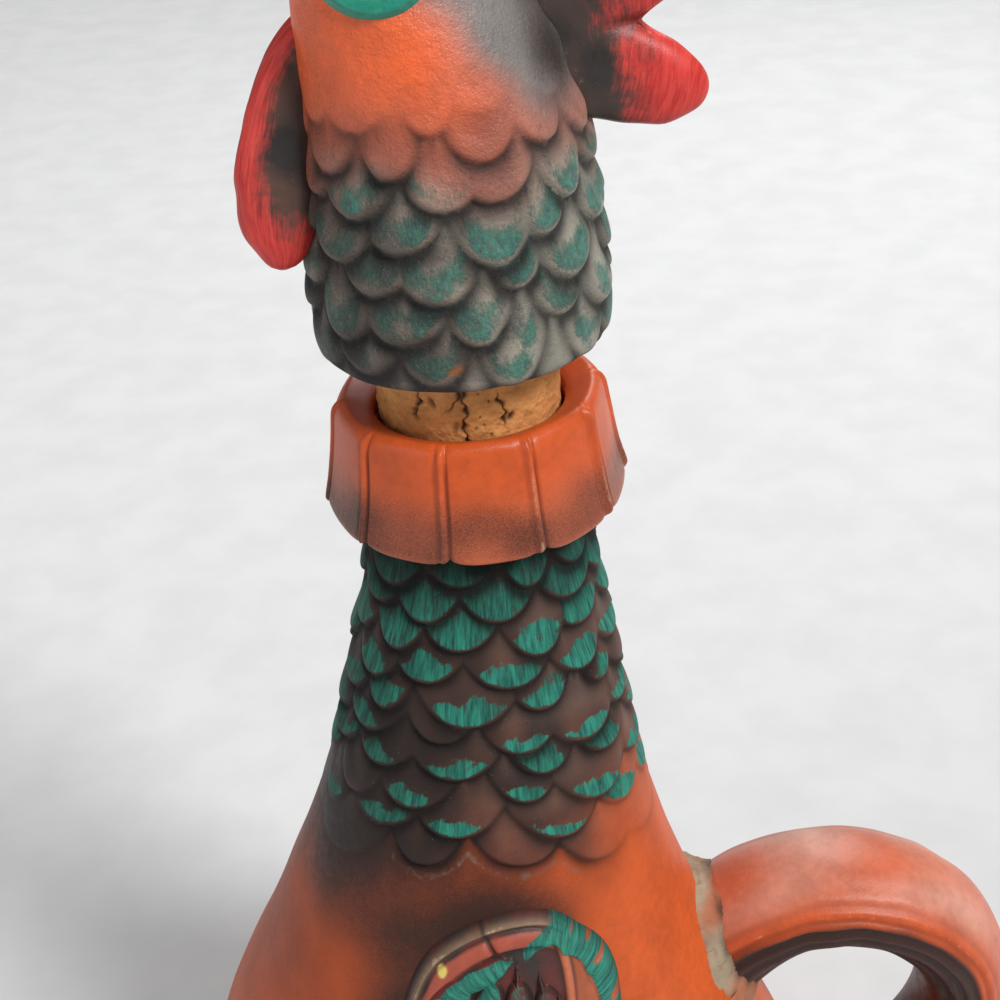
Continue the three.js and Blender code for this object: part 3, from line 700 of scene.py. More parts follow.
def make_ruff():
    columns = 780
    turned = np.arange(columns) / columns
    share = (turned * RUFF_PLEATS) % 1
    angle = turned * TURN + FLANK + RUFF_TURN
    stations = np.array([
        # radius, height, share of the pleats, share of the hanging hem
        (RUFF_SEAT, 207.0, 0, 0), (RUFF_SEAT, 208.3, 0, 0), (15.4, 208.3, 0, 0), (15.35, 210.6, 0, 0),
        (15.6, 211.6, 0, 0), (16.6, 212.4, 0, 0), (18.4, 213.3, 0.1, 0), (20.0, 213.9, 0.3, 0),
        (21.2, 213.1, 0.7, 0), (21.8, 211.9, 1, 0), (22.3, 208, 1, 0), (22.9, 204, 1, 0), (23.6, 200, 1, 0.2),
        (24.4, 197, 1, 0.8), (24.6, 196.0, 1, 1), (24.4, 195.4, 0.9, 1), (23.8, 195.1, 0.6, 1),
        (22.8, 195.3, 0.3, 0.9), (21.8, 196.6, 0, 0.6), (20.0, 199.8, 0, 0.2), (18.6, 202.0, 0, 0),
        (RUFF_SEAT, 203.5, 0, 0),
    ])
    fine = np.linspace(0, len(stations), 110, endpoint=False)
    before = fine.astype(int)
    part = (fine - before)[:, None]
    profile = stations[before] * (1 - part) + stations[(before + 1) % len(stations)] * part
    for _ in range(3):
        profile = 0.25 * np.roll(profile, 1, axis=0) + 0.5 * profile + 0.25 * np.roll(profile, -1, axis=0)
    # Closed, and in the order that turns the faces outwards
    profile = np.concatenate([profile, profile[:1]])[::-1]
    radius, height, pleat, hang = (profile[:, k][:, None] for k in range(4))
    half = math.pi / RUFF_PLEATS
    flat = np.cos(half) / np.cos((share * 2 - 1) * half)
    flat = 1 - (1 - flat) * 0.6 + 0.012
    rib = 0.5 * bell(share, 0.95, 0.035)
    groove = 0.4 * bell(share, 0.015, 0.022) + 0.22 * bell(share, 0.88, 0.035)
    reach = radius * (1 + (flat - 1) * pleat) + (rib - groove) * pleat
    drop = 1.3 * (1 - np.abs(2 * share - 1) ** 4)
    level = height - hang * (drop - 0.4) - 0.35 * bell(share, 0.02, 0.05) * pleat * (height > 212)
    grid = turned_grid(reach, angle, level)
    grid[..., :2] *= (1 + 0.004 * ripple(grid, 14, 21))[..., None]

    # Sprayed soot towards the hem and rubbed pleats; painted shade on the breast side, inside the mouth, in
    # the tucks, under the hanging hem and on the inner wall
    down = (RUFF_TOP - grid[..., 2]) / (RUFF_TOP - RUFF_HEM)
    outer = pleat > 0.7
    crest = bell(share, 0.95, 0.03) * step(0.06, 0.5, down)
    worn = outer * crest * (0.42 + 0.25 * ripple(grid, 17, 23))
    sprayed = 0.58 * step(0.25, 0.85, down) * step(1.12, 0.95, down)
    sprayed += 0.12 * ripple(grid, 12, 22) * step(0.3, 0.7, down)
    # Painted shade: darker on the breast side
    soot = outer * (sprayed + 0.12 * step(0.2, -0.8, np.cos(angle)))
    # Painted shade inside the mouth
    soot += (pleat < 0.3) * (height > 207) * 0.22
    # Painted shade in the tucks, under the hanging hem and on the inner wall
    deep = outer * 0.7 * bell(share, 0.012, 0.016) * step(0.02, 0.3, down)
    deep += (hang > 0) * (pleat < 0.5) * 0.85 + (height < 208) * (pleat == 0) * 0.5
    paint = painted_clay("ruff_paint", ORANGE, ORANGE_RED, RUBBED_RUFF, gloss=0.36, grain=0.35, speckle=0.9,
                         grit=4200)
    base = blend(RUFF_ORANGE, DUSTY_BRICK, step(0.3, 0.9, down))
    piece("ruff_pleats", grid, "bottle", "neck_ruff", "redware", paint, capped=False, base=base, soot=soot,
          worn=worn, deep=deep, brush=grid)


# Lofts

def bezier(points, count):
    """Points and directions along one cubic curve in the X-Z plane."""
    t = np.linspace(0, 1, count)[:, None]
    a, b, c, d = (np.array(point, float) for point in points)
    place = a * (1 - t) ** 3 + 3 * b * t * (1 - t) ** 2 + 3 * c * t * t * (1 - t) + d * t ** 3
    course = 3 * (b - a) * (1 - t) ** 2 + 6 * (c - b) * t * (1 - t) + 3 * (d - c) * t * t
    return place, course / np.linalg.norm(course, axis=1, keepdims=True)


def loft(place, course, out, side):
    """Rings about a curve in the X-Z plane: out lies in that plane, side along Y, both as grids."""
    x = place[:, :1] + course[:, 1:] * out
    z = place[:, 1:] - course[:, :1] * out
    return stacked(x, side, z)


# Handle

def tail_at(level):
    return float(bottle_middle(level) + bottle_radius(level))


def handle_course(count):
    belly = tail_at(BELLY_LEVEL)
    return bezier([
        (tail_at(HANDLE_TOP) - HANDLE_SINK, HANDLE_TOP - HANDLE_SINK * 0.5),
        (tail_at(HANDLE_TOP) + HANDLE_RISE * 1.6, HANDLE_TOP + HANDLE_RISE * 3.1),
        (belly + (FINGER_GAP + HANDLE_THICKNESS / 2) * 2.4, HANDLE_LOW + HANDLE_RISE * 2.4),
        (tail_at(HANDLE_LOW) - HANDLE_SINK, HANDLE_LOW - HANDLE_SINK * 0.4),
    ], count)


def handle_section(along, angle):
    """Section of the handle, a soft oval with feather grooves on its flanks: out, side, depth of grooves."""
    taper = smooth([(0, 1.0), (0.45, 1.0), (1.0, HANDLE_LOW_SHARE)])(along)
    turned = np.abs(np.degrees((angle + math.pi) % TURN - math.pi))
    # degrees from the inner side, depth and width of each groove
    grooves = ((142, 0.15, 7), (124, 0.4, 5), (108, 0.6, 5), (92, 0.8, 6), (74, 0.8, 6), (54, 0.5, 8))
    groove = sum(depth * bell(turned, at, wide) for at, depth, wide in grooves)
    flare = 4.0 * bell(along, 0, 0.16) * np.clip(np.cos(angle), 0, 1)
    out = (HANDLE_THICKNESS / 2 * taper - groove) * np.cos(angle) + flare
    side = (HANDLE_WIDTH / 2 * taper - groove) * np.sin(angle)
    return out, side, groove


def on_bottle(grid):
    """How far points lie outside the bottle's bare surface."""
    return np.hypot(grid[..., 0] - bottle_middle(grid[..., 2]), grid[..., 1]) - bottle_radius(grid[..., 2])


def make_handle():
    angle = ring(144)[None, :]
    place, course = handle_course(170)
    out, side, groove = handle_section(np.linspace(0, 1, 170)[:, None], angle)
    grid = loft(place, course, out, side)
    grid += 0.15 * ripple(grid, 12, 31)[..., None]
    grid = grid[(on_bottle(grid) > -2.5).any(axis=1)]

    # Pale on top, a painted highlight; painted shade in the dark grooves and near the bottle; a dark
    # underside of paint and painted shade, with a little teal there; a narrow pale painted highlight line low
    # on the side
    top = np.broadcast_to(-np.cos(angle), grid.shape[:2])
    under = step(0.36, 0.02, top + 0.05 * ripple(grid, 14, 34))
    # Painted highlight in pale rose along the top
    base = blend(ORANGE, PAINTED_HIGHLIGHT_ROSE, bell(top, 0.86, 0.26) * (0.75 + 0.3 * ripple(grid, 20, 35)))
    soot = 0.85 * under + 0.45 * np.clip(groove, 0, 1) + 0.25 * np.exp(-np.clip(on_bottle(grid), 0, 30) / 5)
    coat = 0.62 * step(-0.05, -0.5, top) * (0.5 + 0.5 * ripple(grid, 16, 33))
    # The narrow pale line low on the side is a painted highlight
    worn = 0.3 * step(0.5, 0.9, groove) * (0.6 + 0.4 * ripple(grid, 6, 32)) + 0.4 * bell(top, 0.38, 0.05)
    piece("handle_plumes", grid, "bottle", "tail_handle", "redware",
          painted_clay("handle_paint", DEEP_TEAL, BLACK_BROWN, BONE, gloss=0.38),
          base=base, coat=coat, soot=soot, worn=worn, deep=0.6 * np.clip(groove - 0.2, 0, 1),
          brush=stacked(angle * 12, 140 * np.linspace(0, 1, len(grid))[:, None], 0))


def make_slip(name, node, upper):
    """A rough fillet of slip along the line where one end of the handle meets the bottle."""
    angle = ring(200)
    place, course = handle_course(600)
    out, side, _ = handle_section(np.linspace(0, 1, 600)[:, None], angle[None, :])
    tube = loft(place, course, out, side)
    outside = on_bottle(tube) > 0
    first = outside.argmax(axis=0) if upper else len(tube) - 1 - outside[::-1].argmax(axis=0)
    line = tube[first, np.arange(len(angle))]
    normal = stacked(line[:, 0] - bottle_middle(line[:, 2]), line[:, 1], 0.45 * bottle_radius(line[:, 2]))
    normal /= np.linalg.norm(normal, axis=1, keepdims=True)
    along = np.roll(line, -1, axis=0) - np.roll(line, 1, axis=0)
    along /= np.linalg.norm(along, axis=1, keepdims=True)
    spread = np.cross(normal, along)
    spread *= np.sign(np.sum(spread * (line - line.mean(axis=0)), axis=1, keepdims=True))
    away = stacked(course[first, 0], 0, course[first, 1]) * (1 if upper else -1)
    lump = (1 + 0.22 * ripple(line, 9, 41) + 0.1 * ripple(line, 3, 42))[:, None]
    foot = line + spread * 3.6 * lump - normal * 0.5
    bend = line + spread * 1.5 + away * 1.2 + normal * 0.4
    crest = line + away * 3.6 * (0.6 + 0.4 * lump) - spread * 0.15
    heel = line - spread * 1.4 - normal * 1.2
    t = np.linspace(0, 1, 16)[:, None, None]
    grid = np.concatenate([foot * (1 - t) ** 2 + 2 * bend * t * (1 - t) + crest * t * t, heel[None]])
    grid += (0.14 * ripple(grid, 2.2, 43) + 0.1 * ripple(grid, 1.0, 46))[..., None] * spread
    grid = np.concatenate([grid, grid[:1]])
    # Darker towards the crest, against the handle: painted shade
    soot = 0.2 + 0.16 * ripple(grid, 6, 45) + 0.4 * step(8, 16, np.arange(len(grid)))[:, None]
    piece(name, grid, "bottle", node, "slip",
          painted_clay(name + "_clay", ORANGE, ORANGE_RED, BONE, gloss=0.75, grain=0.9), capped=False,
          base=blend(SLIP, STAINED_SLIP, patchy(grid, 0.35, 0.7, 8, 44)), soot=soot, brush=grid)


# Wings

def wing_tip(share):
    return lambda angle: -share * wing_outline(angle)


plumage = Feathers(
    tips=[wing_tip(share) for share in WING_ROWS],
    per_turn=WING_FEATHERS,
    depth=[5.0, 6.0, 7.0, 7.0],
    width=0.52,
    phases=(math.radians(-82), math.radians(-70)),
    wobble=0.5,
    seed=9,
)

COVERTS = (
    # start across and up, direction in degrees, length, half width and share of teal
    (-5.0, 14.6, 203, 12, 2.0, 1.0), (-12.0, 12.0, 234, 20, 3.3, 1.0), (-7.6, 11.4, 256, 22, 3.0, 1.0),
    (-3.4, 11.0, 268, 22, 2.6, 0.6), (0.8, 9.0, 280, 21, 2.5, 0.4), (4.2, 5.0, 296, 18, 2.3, 0.7),
)


def leaves(x, z):
    """Leaf-shaped coverts under the arch: relief, place across the nearest one, and how much teal it has."""
    height = np.zeros_like(x)
    across = np.full_like(x, 3.0)
    teal = np.zeros_like(x)
    for left, up, toward, length, wide, paint in COVERTS:
        ahead = (math.cos(math.radians(toward)), math.sin(math.radians(toward)))
        along = ((x - left) * ahead[0] + (z - up) * ahead[1]) / length
        aside = ((z - up) * ahead[0] - (x - left) * ahead[1]) / wide
        girth = np.clip(np.sin(math.pi * np.clip(along, 0, 1) ** 0.8), 0.02, 1) ** 0.5
        place = np.abs(aside) / girth + 8 * (np.clip(-along, 0, 1) + np.clip(along - 1, 0, 1))
        nearer = place < across
        height = np.where(nearer, dome(place), height)
        across = np.where(nearer, place, across)
        teal = np.where(nearer, paint, teal)
    return height, across, teal


def on_flank(x, z, stand, side):
    """Points at a distance above the bottle's bare surface, on one flank."""
    radius = bottle_radius(z) + stand
    y = side * np.sqrt(np.clip(radius ** 2 - (x - bottle_middle(z)) ** 2, 1, None))
    return stacked(x, y, z)


def make_wing(name, node, side):
    angle = ring(440)
    turned = np.degrees(angle)
    lower = step(0.1, -0.5, np.sin(angle))
    hem = wing_outline(angle) * (1 - lower) - plumage.hems(angle)[0][-1] * lower
    inner = np.linspace(0.02, 0.925, 130)
    rim = 1 - 0.07 * (1 - np.linspace(0, 1, 22)) ** 2
    reach = np.concatenate([inner, rim])[:, None] * hem
    edge = hem - reach
    x = reach * np.cos(angle)
    z = reach * np.sin(angle)
    field = plumage.over(angle, -reach, WING_ARC)
    rise = field.rise
    chance = field.chance

    # Relief: rows of feathers below, an arch of ridge and band in front, a rib behind, leaves under the arch
    shaft = bell(field.across, 0, 0.07) * step(0.5, 3, rise)
    plume = relief(field, 1.4, 1.1, 18, 0.7) + 0.25 * shaft
    front = step(70, 92, turned) * step(228, 205, turned)
    notch = bell((turned - 113) * 0.36, 0, 0.6)
    ridge = bell(edge, 0.9, 0.52) * front
    band = dome((edge - 3.6) / 1.6) * front * (1 - 0.85 * notch)
    bow = x - 5.6 + 0.012 * (z - 6) ** 2
    rib = bell(bow, 0, 0.9) * step(-6, 0, z) * step(1.5, 3.5, edge)
    blot = ripple(stacked(x, z), 5, 54)
    strip = step(4.4, 3.4, edge + 0.9 * blot) * (1 - front) * step(-1.2, -0.4, blot)
    leaf, across, teal = leaves(x, z)
    covered = step(1.15, 0.95, across)
    dish = (1 - lower) * (0.6 * ridge + 1.0 * band + 0.9 * rib + 0.6 * strip) + lower * plume
    stand = np.where(covered > 0.5, np.maximum(0.3 + 1.5 * leaf, 0.4 * dish), dish * (1 - 0.5 * covered))
    thick = (WING_RISE - 2.4 + stand) * rounded(edge / 1.3)
    grid = on_flank(WING_CENTRE[0] + x, WING_CENTRE[1] + z, thick - 0.35, side)
    # The back of the wing lies just inside the bottle's skin
    back = grid[::-BACK_STEP]
    back = on_flank(back[..., 0], back[..., 2], -0.9, side)

    # Base colours: maroon feathers, clay, band, ridge and rib of the arch, and one yellow spot
    arch = (1 - lower) * (1 - covered)
    base = blend(WING_BROWN, WING_MAROON, patchy(grid, 0.4, 0.7, 7, 51))
    base = blend(base, WING_CLAY, arch * step(0.6, 1.6, bow) * (1 - front))
    base = blend(base, WING_BAND, arch * step(0.15, 0.6, band + 0.15 * blot))
    base = blend(base, WING_RIDGE, arch * np.clip(1.3 * ridge, 0, 1))
    base = blend(base, WING_RIB, arch * step(0.3, 0.8, rib))
    spot = np.hypot((x + 16.2) / 0.75, (z - 13.7) / 1.3)
    base = blend(base, SPOT_YELLOW, step(1.1, 0.5, spot + 1.1 * blot))

    # Teal: dabs on the feathers, leaves, and one ragged stroke from the top of the arch into the hollow
    aim = (chance * 7 % 1 - 0.5) * 0.5
    dab = np.hypot((field.across - aim) / 0.8, (rise - 3.2) / (3.4 + 3.0 * (chance * 5 % 1)))
    coat = step(-0.4, 0.4, 1 - dab + 0.16 * blot) * np.where(chance > 0.12, 0.7, 0.2) * lower * (1 - covered)
    coat = np.maximum(coat, 0.76 * covered * step(1.0, 0.75, across + 0.15 * blot) * teal)
    stroke = np.hypot(np.clip(np.abs(x - 2.2) - 2.6, 0, None), z - 17.4 - 0.4 * (x - 2.2))
    tuft = step(2.4, 1.2, stroke + 0.9 * blot)
    coat = np.maximum(coat, 0.84 * arch * np.maximum(strip, tuft))
    coat *= 1 - step(1.8, 1.0, spot)

    # Soot on the notch; painted shade below the hems and in the groove behind the ridge; rubbed ridges;
    # recesses in dark paint and painted shade along the outline, round the leaves and inside the band
    soot = 0.3 * crevice(field, 3.0) * lower + 0.7 * arch * front * notch * step(6, 4, edge)
    soot = soot + 0.5 * arch * front * bell(edge, 2.1, 0.4) + 0.12 * ripple(grid, 10, 52)
    worn = arch * ridge * (0.35 + 0.3 * blot) + 0.4 * shaft * (0.5 + 0.5 * blot) * lower + 0.3 * arch * rib
    deep = crevice(field, 1.3) * lower * (1 - covered) + 0.6 * np.exp(-edge / 0.4)
    deep = deep + 0.9 * bell(across, 1.14, 0.16) * step(5, 6, edge)
    deep = deep + 0.55 * (1 - lower) * front * bell(edge, 5.6, 0.5) * (1 - covered)
    brush = stacked(angle * WING_ARC, reach, teal * 7.1 * covered + field.row * 3.3)
    piece(name, np.concatenate([grid, back]), "bottle", node, "feather_paint",
          painted_clay(name + "_paint", TEAL, DEEP_TEAL, BONE, gloss=0.48, coat_gloss=0.58, soft=0.14),
          flip=side > 0, base=lined(base), coat=lined(coat), soot=lined(soot), worn=lined(worn),
          deep=lined(deep), brush=lined(brush))


# Stopper

CORK_CRACKS = (
    # angle from the flank, lean per millimetre, lowest and highest level
    (-0.02, 0.004, -14, 0), (0.02, 0.03, -7, -2), (0.26, -0.012, -11, -5), (-0.5, 0.01, -9, -4),
    (2.0, 0.01, -20, -4), (3.6, -0.01, -16, 0), (4.9, 0.005, -22, -6),
)


def make_cork():
    angle = ring(420)
    low = -CORK_LENGTH
    level = np.concatenate([[low, low + 0.3], np.linspace(low + 1, 3, 150), [CORK_HELD - 1, CORK_HELD]])
    height = np.repeat(level[:, None], len(angle), axis=1)
    radius = CORK_RADIUS + CORK_TAPER * (0.3 * np.minimum(height, 0) + 0.5 * np.minimum(height + 12, 0))
    radius -= 1.0 * step(low + 1.1, low, height) + 1.0 * step(CORK_HELD - 1, CORK_HELD, height)

    def beside(line):
        """Distance round the cork from a line of angles."""
        return ((angle - line + math.pi) % TURN - math.pi) * CORK_RADIUS

    rng = np.random.default_rng(61)
    # Pits and cracks: sunk into the cork, and near black in their own dark and painted shade
    deep = np.zeros_like(height)
    for _ in range(150):
        at = rng.uniform(0, TURN)
        up = rng.uniform(low, 0)
        wide = 0.14 + 0.55 * rng.random() ** 2.5
        tall = wide * rng.uniform(0.8, 2.2)
        lean = rng.uniform(-0.4, 0.4) * (height - up)
        pit = np.exp(-(((beside(at) + lean) / wide) ** 2 + ((height - up) / tall) ** 2) ** 2)
        deep = np.maximum(deep, pit * rng.uniform(0.4, 1.0))
    for at, lean, bottom, top in CORK_CRACKS:
        wander = 0.022 * np.sin(height * 1.3 + at * 70) + 0.012 * np.sin(height * 3.7 + at * 30)
        wide = 0.14 + 0.42 * np.sin(height * 1.1 + at * 9) ** 4
        crack = bell(beside(at + FLANK + lean * height + wander), 0, wide)
        crack *= step(bottom - 1, bottom + 1, height) * step(top + 1, top - 1, height)
        deep = np.maximum(deep, crack)
    grid = turned_grid(radius - 0.55 * deep, angle, height + HEAD_RIM)
    lumps = 0.1 * ripple(grid, 3, 62) + 0.06 * ripple(grid, 1.2, 63)
    grid[..., :2] *= (1 + (lumps - 0.12) / CORK_RADIUS)[..., None]
    piece("cork_plug", grid, "cork", "cork", "cork", cork_bark(), deep=deep)


head_radius = smooth([
    (0, RIM_RADIUS), (31, RIM_RADIUS - 2.2), (53, RIM_RADIUS - 6), (67, RIM_RADIUS - 10.4),
    (72, RIM_RADIUS - 14.6), (HEAD_HEIGHT, 3.3),
])
head_middle = smooth([(0, 0), (31, 0), (53, -3), (67, -7), (HEAD_HEIGHT, -8.5)])
head_breadth = smooth([(0, 1), (31, 1), (53, 1.14), (HEAD_HEIGHT, 1.14)])


def head_tip(row):
    level = HEAD_CAPE_TOP - HEAD_CAPE_DEPTH - row * HEAD_CAPE_PITCH
    return lambda angle: level + 0 * angle


hackle = Feathers(
    tips=[head_tip(row) for row in range(HEAD_CAPE_ROWS)],
    per_turn=HEAD_CAPE_PER_ROW,
    depth=[HEAD_CAPE_DEPTH] * HEAD_CAPE_ROWS,
    width=0.5,
    phases=(FLANK + math.radians(-7), FLANK + math.radians(11)),
    wobble=1.5,
    seed=12,
)


def make_head():
    angle = ring(440)
    feathered = np.arange(1.2, 50, 0.36)
    bald = np.arange(50.6, HEAD_HEIGHT - 1, 0.9)
    crown = [HEAD_HEIGHT - 0.6, HEAD_HEIGHT - 0.15, HEAD_HEIGHT]
    levels = np.concatenate([[0, 0.12, 0.4, 0.8], feathered, bald, crown])
    height = np.repeat(levels[:, None], len(angle), axis=1)
    field = hackle.over(angle, height, RIM_RADIUS)
    rise = field.rise
    aside = np.abs(field.across)
    face = step(34, 44, height)
    stand = relief(field, HEAD_CAPE_LIP, 1.8, 8, 0.8) * (0.35 + 0.65 * step(1, 8, height)) - 0.5
    stand = soften(stand * (1 - face) - 0.9 * (1 - rounded(height / 1.1)))
    # A ridge runs up the nape to the comb
    nape_line = np.sin(angle) * head_radius(height)
    ridge = bell(nape_line, 0, 2.6) * (np.cos(angle) > 0)
    stand += 0.7 * ridge * step(26, 40, height) + 0.35 * ridge
    length = head_radius(height) + stand
    breadth = head_radius(height) * head_breadth(height) + stand
    grid = stacked(head_middle(height) + length * np.cos(angle), breadth * np.sin(angle), height + HEAD_RIM)
    grid = uneven(grid, angle, 0.12, 9, 71)
    grid[0, :, 2] = HEAD_RIM

    # Grey feathers with a pale middle, which is a painted highlight on each crown, lighter and greener
    # towards the back as painted light, a warm face, a grey nape and one chip at the rim
    behind = np.broadcast_to(np.cos(angle), height.shape)
    grey = blend(GREY_UMBER, DARK_UMBER, patchy(grid, 0.5, 0.6, 8, 72))
    middle = step(0.8, 3.2, rise) * step(0.95, 0.35, aside) * step(8.5, 5, rise)
    # Painted highlight on the feather crowns
    grey = blend(grey, CROWN_HIGHLIGHT_UMBER, 0.35 * middle)
    # Painted light: lighter and greener towards the lit back
    grey = blend(grey, SAGE_HIGHLIGHT, 0.36 * step(-0.3, 0.6, behind))
    warm = blend(DUSTY_ROSE, FACE_ORANGE, step(32, 48, height))
    bare = step(25, 36, height + 3 * ripple(grid, 14, 73))
    base = blend(grey, warm, bare)
    nape = step(-0.28, 0.5, behind - 0.026 * (56 - height) + 0.08 * ripple(grid, 12, 76))
    base = blend(base, NAPE_GREY, nape * step(31, 43, height))
    chip = bell((np.degrees(angle) - 270) * 0.4, -1.5, 1.4) * bell(height, 4.2, 0.7)
    base = blend(base, CHIP_ORANGE, np.clip(1.6 * chip, 0, 1))

    # A thin teal wash on the feathers, painted shade in front and low down, soot along the comb, rubbed seam,
    # recesses in dark paint and painted shade
    wash = 0.5 + 0.5 * ripple(grid, 6, 77)
    coat = step(0.2, 2.2, rise) * (1 - 0.6 * step(3.5, 7, rise)) * (0.34 + 0.6 * wash)
    coat *= step(1.2, 0.5, aside) * (1 - 0.75 * bare)
    # Painted shade: darker in front and towards the rim
    soot = (0.1 + 0.4 * step(0.2, -0.6, behind) + 0.16 * step(24, 4, height)) * (1 - bare)
    soot += 0.14 * ripple(grid, 12, 74) + 0.75 * step(0.55, 0.98, behind) * step(34, 46, height)
    seam = bell(nape_line, 0, 1.2) * (np.cos(angle) > 0)
    worn = 0.4 * seam * (0.7 + 0.5 * ripple(grid, 6, 75)) + 0.2 * step(1.4, 0.4, height) + 0.36 * (1 - bare)
    deep = (0.95 * crevice(field, 1.6) + 0.6 * crevice(field, 4.2)) * (1 - face) * (1 - 0.25 * bare)
    # Painted shade where the head sits on the ruff and under each lip
    deep += 0.5 * step(1.0, 0.2, height) + 0.3 * step(1.4, 0.1, rise) * (1 - face) * field.shows
    deep = soften(np.clip(deep, 0, 1))
    brush = stacked(angle * RIM_RADIUS, 4 * height, field.row * 6.3)

    # The socket that holds the cork, darkened inside with painted shade
    socket = CORK_RADIUS + 0.25
    inner = [(CORK_HELD, socket), (0.4, socket), (0.0, socket + 0.3)]
    inside = np.stack([turned_grid(radius, angle, level + HEAD_RIM) for level, radius in inner])
    masks = with_inside(
        inside.shape[:2], False, base=(base, WARM_UMBER), coat=(coat, 0), soot=(soot, 0.5), worn=(worn, 0),
        deep=(deep, 0.2), brush=(brush, 0))
    paint = painted_clay("head_paint", HEAD_TEAL, DEEP_HEAD_TEAL, RUBBED_GREY, gloss=0.42, coat_gloss=0.46,
                         grain=1.0, specular=0.5, soft=0.26, cover=0.88, grit=2000, dust=0.55, pits=0.00045)
    piece("head_feathers", np.concatenate([inside, grid]), "head", "head", "head_paint", paint, **masks)


def make_comb():
    """Lobes in a fan over crown and nape; each section runs from the head over the edge and back."""
    angle = np.linspace(COMB_FIRST, COMB_LAST, 300)
    lobe = (angle - COMB_FIRST) / (COMB_LAST - COMB_FIRST) * COMB_LOBES
    wave = np.clip(np.sin(math.pi * (lobe % 1)), 0, 1) ** 1.35
    reach = COMB_NOTCH + (COMB_TIP - COMB_NOTCH) * wave
    reach = reach - 6.0 * step(0.25, 0, lobe) - 5.0 * step(COMB_LOBES - 0.3, COMB_LOBES, lobe)
    ease = np.sin(np.linspace(0, math.pi / 2, 40))
    rise = np.concatenate([ease, ease[::-1][1:]])[:, None]
    hand = np.concatenate([-np.ones(39), [0], np.ones(39)])[:, None]
    radius = COMB_ROOT + (reach - COMB_ROOT) * rise
    share = (radius - COMB_ROOT) / (COMB_TIP - COMB_ROOT)
    bulk = COMB_THICKNESS / 2 * (0.72 + 0.28 * wave)
    half = bulk * np.sqrt(np.clip(1 - rise ** 5, 0, 1)) * (1 - 0.25 * share)
    groove = bell((lobe + 0.5) % 1, 0.5, 0.07) * step(0.25, 0.7, share)
    half = half - 0.7 * groove * (half > 1.2)
    ends = step(0, 0.12, lobe) * step(COMB_LOBES, COMB_LOBES - 0.12, lobe)
    half = half * (0.25 + 0.75 * ends)

    def fan(distance):
        return COMB_CENTRE[0] + distance * np.cos(angle), COMB_CENTRE[1] + distance * np.sin(angle)

    x, z = fan(radius)
    grid = stacked(x, hand * half, z + HEAD_RIM)
    grid += 0.12 * ripple(grid, 6, 81)[..., None]

    # Red away from the head, over a dark root with a rubbed line where they meet, and painted shade in the
    # grooves between the lobes
    probe = np.linspace(COMB_ROOT, COMB_TIP, 120)[:, None]
    probe_x, probe_z = fan(probe)
    within = (np.abs(probe_x - head_middle(probe_z)) < head_radius(probe_z)) & (probe_z < HEAD_HEIGHT)
    off_head = radius - np.where(within, probe, COMB_ROOT).max(axis=0)
    tip = np.clip((off_head + 1.5 * ripple(grid, 5, 82) - 1.0 * groove - 3) / 13, 0, 1)
    piece("comb_crest", grid, "head", "comb", "comb_red",
          painted_clay("comb_paint", RED, DEEP_RED, BONE, gloss=0.34, coat_gloss=0.36, grain=0.3, soft=0.34),
          around=False, capped=False, base=blend(CHARCOAL, COMB_BROWN, patchy(grid, 0.5, 0.5, 8, 83)),
          coat=0.98 * tip, worn=0.36 * bell(off_head, 0.6, 0.7), deep=0.35 * groove,
          brush=stacked(radius, angle * 34, hand * 20))


def make_wattle(name, node, side):
    chin = BEAK_LEVEL - BEAK_HEIGHT * 0.85
    place, course = bezier([(-14, chin + 1), (-24, chin - 2), (-25, chin - 18), (-26, chin - 34)], 90)
    along = np.linspace(0, 1, 90)[:, None]
    angle = ring(72)[None, :]
    swell = smooth([(0, 0.5), (0.35, 0.66), (0.76, 1.0), (1, 1.0)])(along)
    swell = swell * dome(np.clip(along - 0.74, 0, 1) / 0.262)
    across = side * (2.0 + 4.0 * along) + 3.4 * swell * np.sin(angle)
    grid = loft(place, course, 6.5 * swell * np.cos(angle), across)
    grid[..., 2] += HEAD_RIM
    grid += 0.15 * ripple(grid, 6, 91)[..., None]
    paint = painted_clay(node + "_paint", RED, DEEP_RED, BONE, gloss=0.36, coat_gloss=0.38, grain=0.3,
                         soft=0.34)
    # Painted shade at the root, against the head
    piece(name, grid, "head", node, "comb_red", paint,
          base=blend(CHARCOAL, WATTLE_BROWN, patchy(grid, 0.5, 0.5, 8, 92)),
          coat=np.clip(step(-0.2, 1.0, np.cos(angle)) + step(0.7, 1.0, along), 0, 1) * 0.95,
          deep=0.5 * step(0.2, 0.0, along), brush=stacked(angle * 6, along * 36, 0))


def make_beak(name, node, length, height, root, bend, tip, mouth):
    """A horn through its middle's heights at root, bend and tip, boxy towards the mouth: 1 up, -1 down."""
    face = float(head_middle(BEAK_LEVEL) - head_radius(BEAK_LEVEL))
    place, course = bezier([
        (face + 4, BEAK_LEVEL + root), (face - length * 0.3, BEAK_LEVEL + bend + 0.4),
        (face - length * 0.7, BEAK_LEVEL + bend * 0.6), (face - length, BEAK_LEVEL + tip),
    ], 70)
    along = np.linspace(0, 1, 70)[:, None]
    angle = ring(64)[None, :]
    taper = 1 - 0.92 * along ** 1.6
    square = np.where(mouth * np.cos(angle) > 0, 0.4, 1.35)
    across = BEAK_WIDTH / 2 * taper * np.sign(np.sin(angle)) * np.abs(np.sin(angle)) ** square
    grid = loft(place, course, height / 2 * taper * np.cos(angle), across)
    grid[..., 2] += HEAD_RIM
    dull = np.clip(0.4 + 0.6 * ripple(grid, 5, 95) + step(0.35, 0.1, along), 0, 1)
    piece(name, grid, "head", node, "beak_yellow",
          painted_clay(node + "_paint", BONE, YELLOW, BONE, gloss=0.42, grain=0.4),
          base=blend(YELLOW, DULL_YELLOW, dull), coat=0.3, soot=0.35 * step(0.3, 0.05, along), brush=grid)


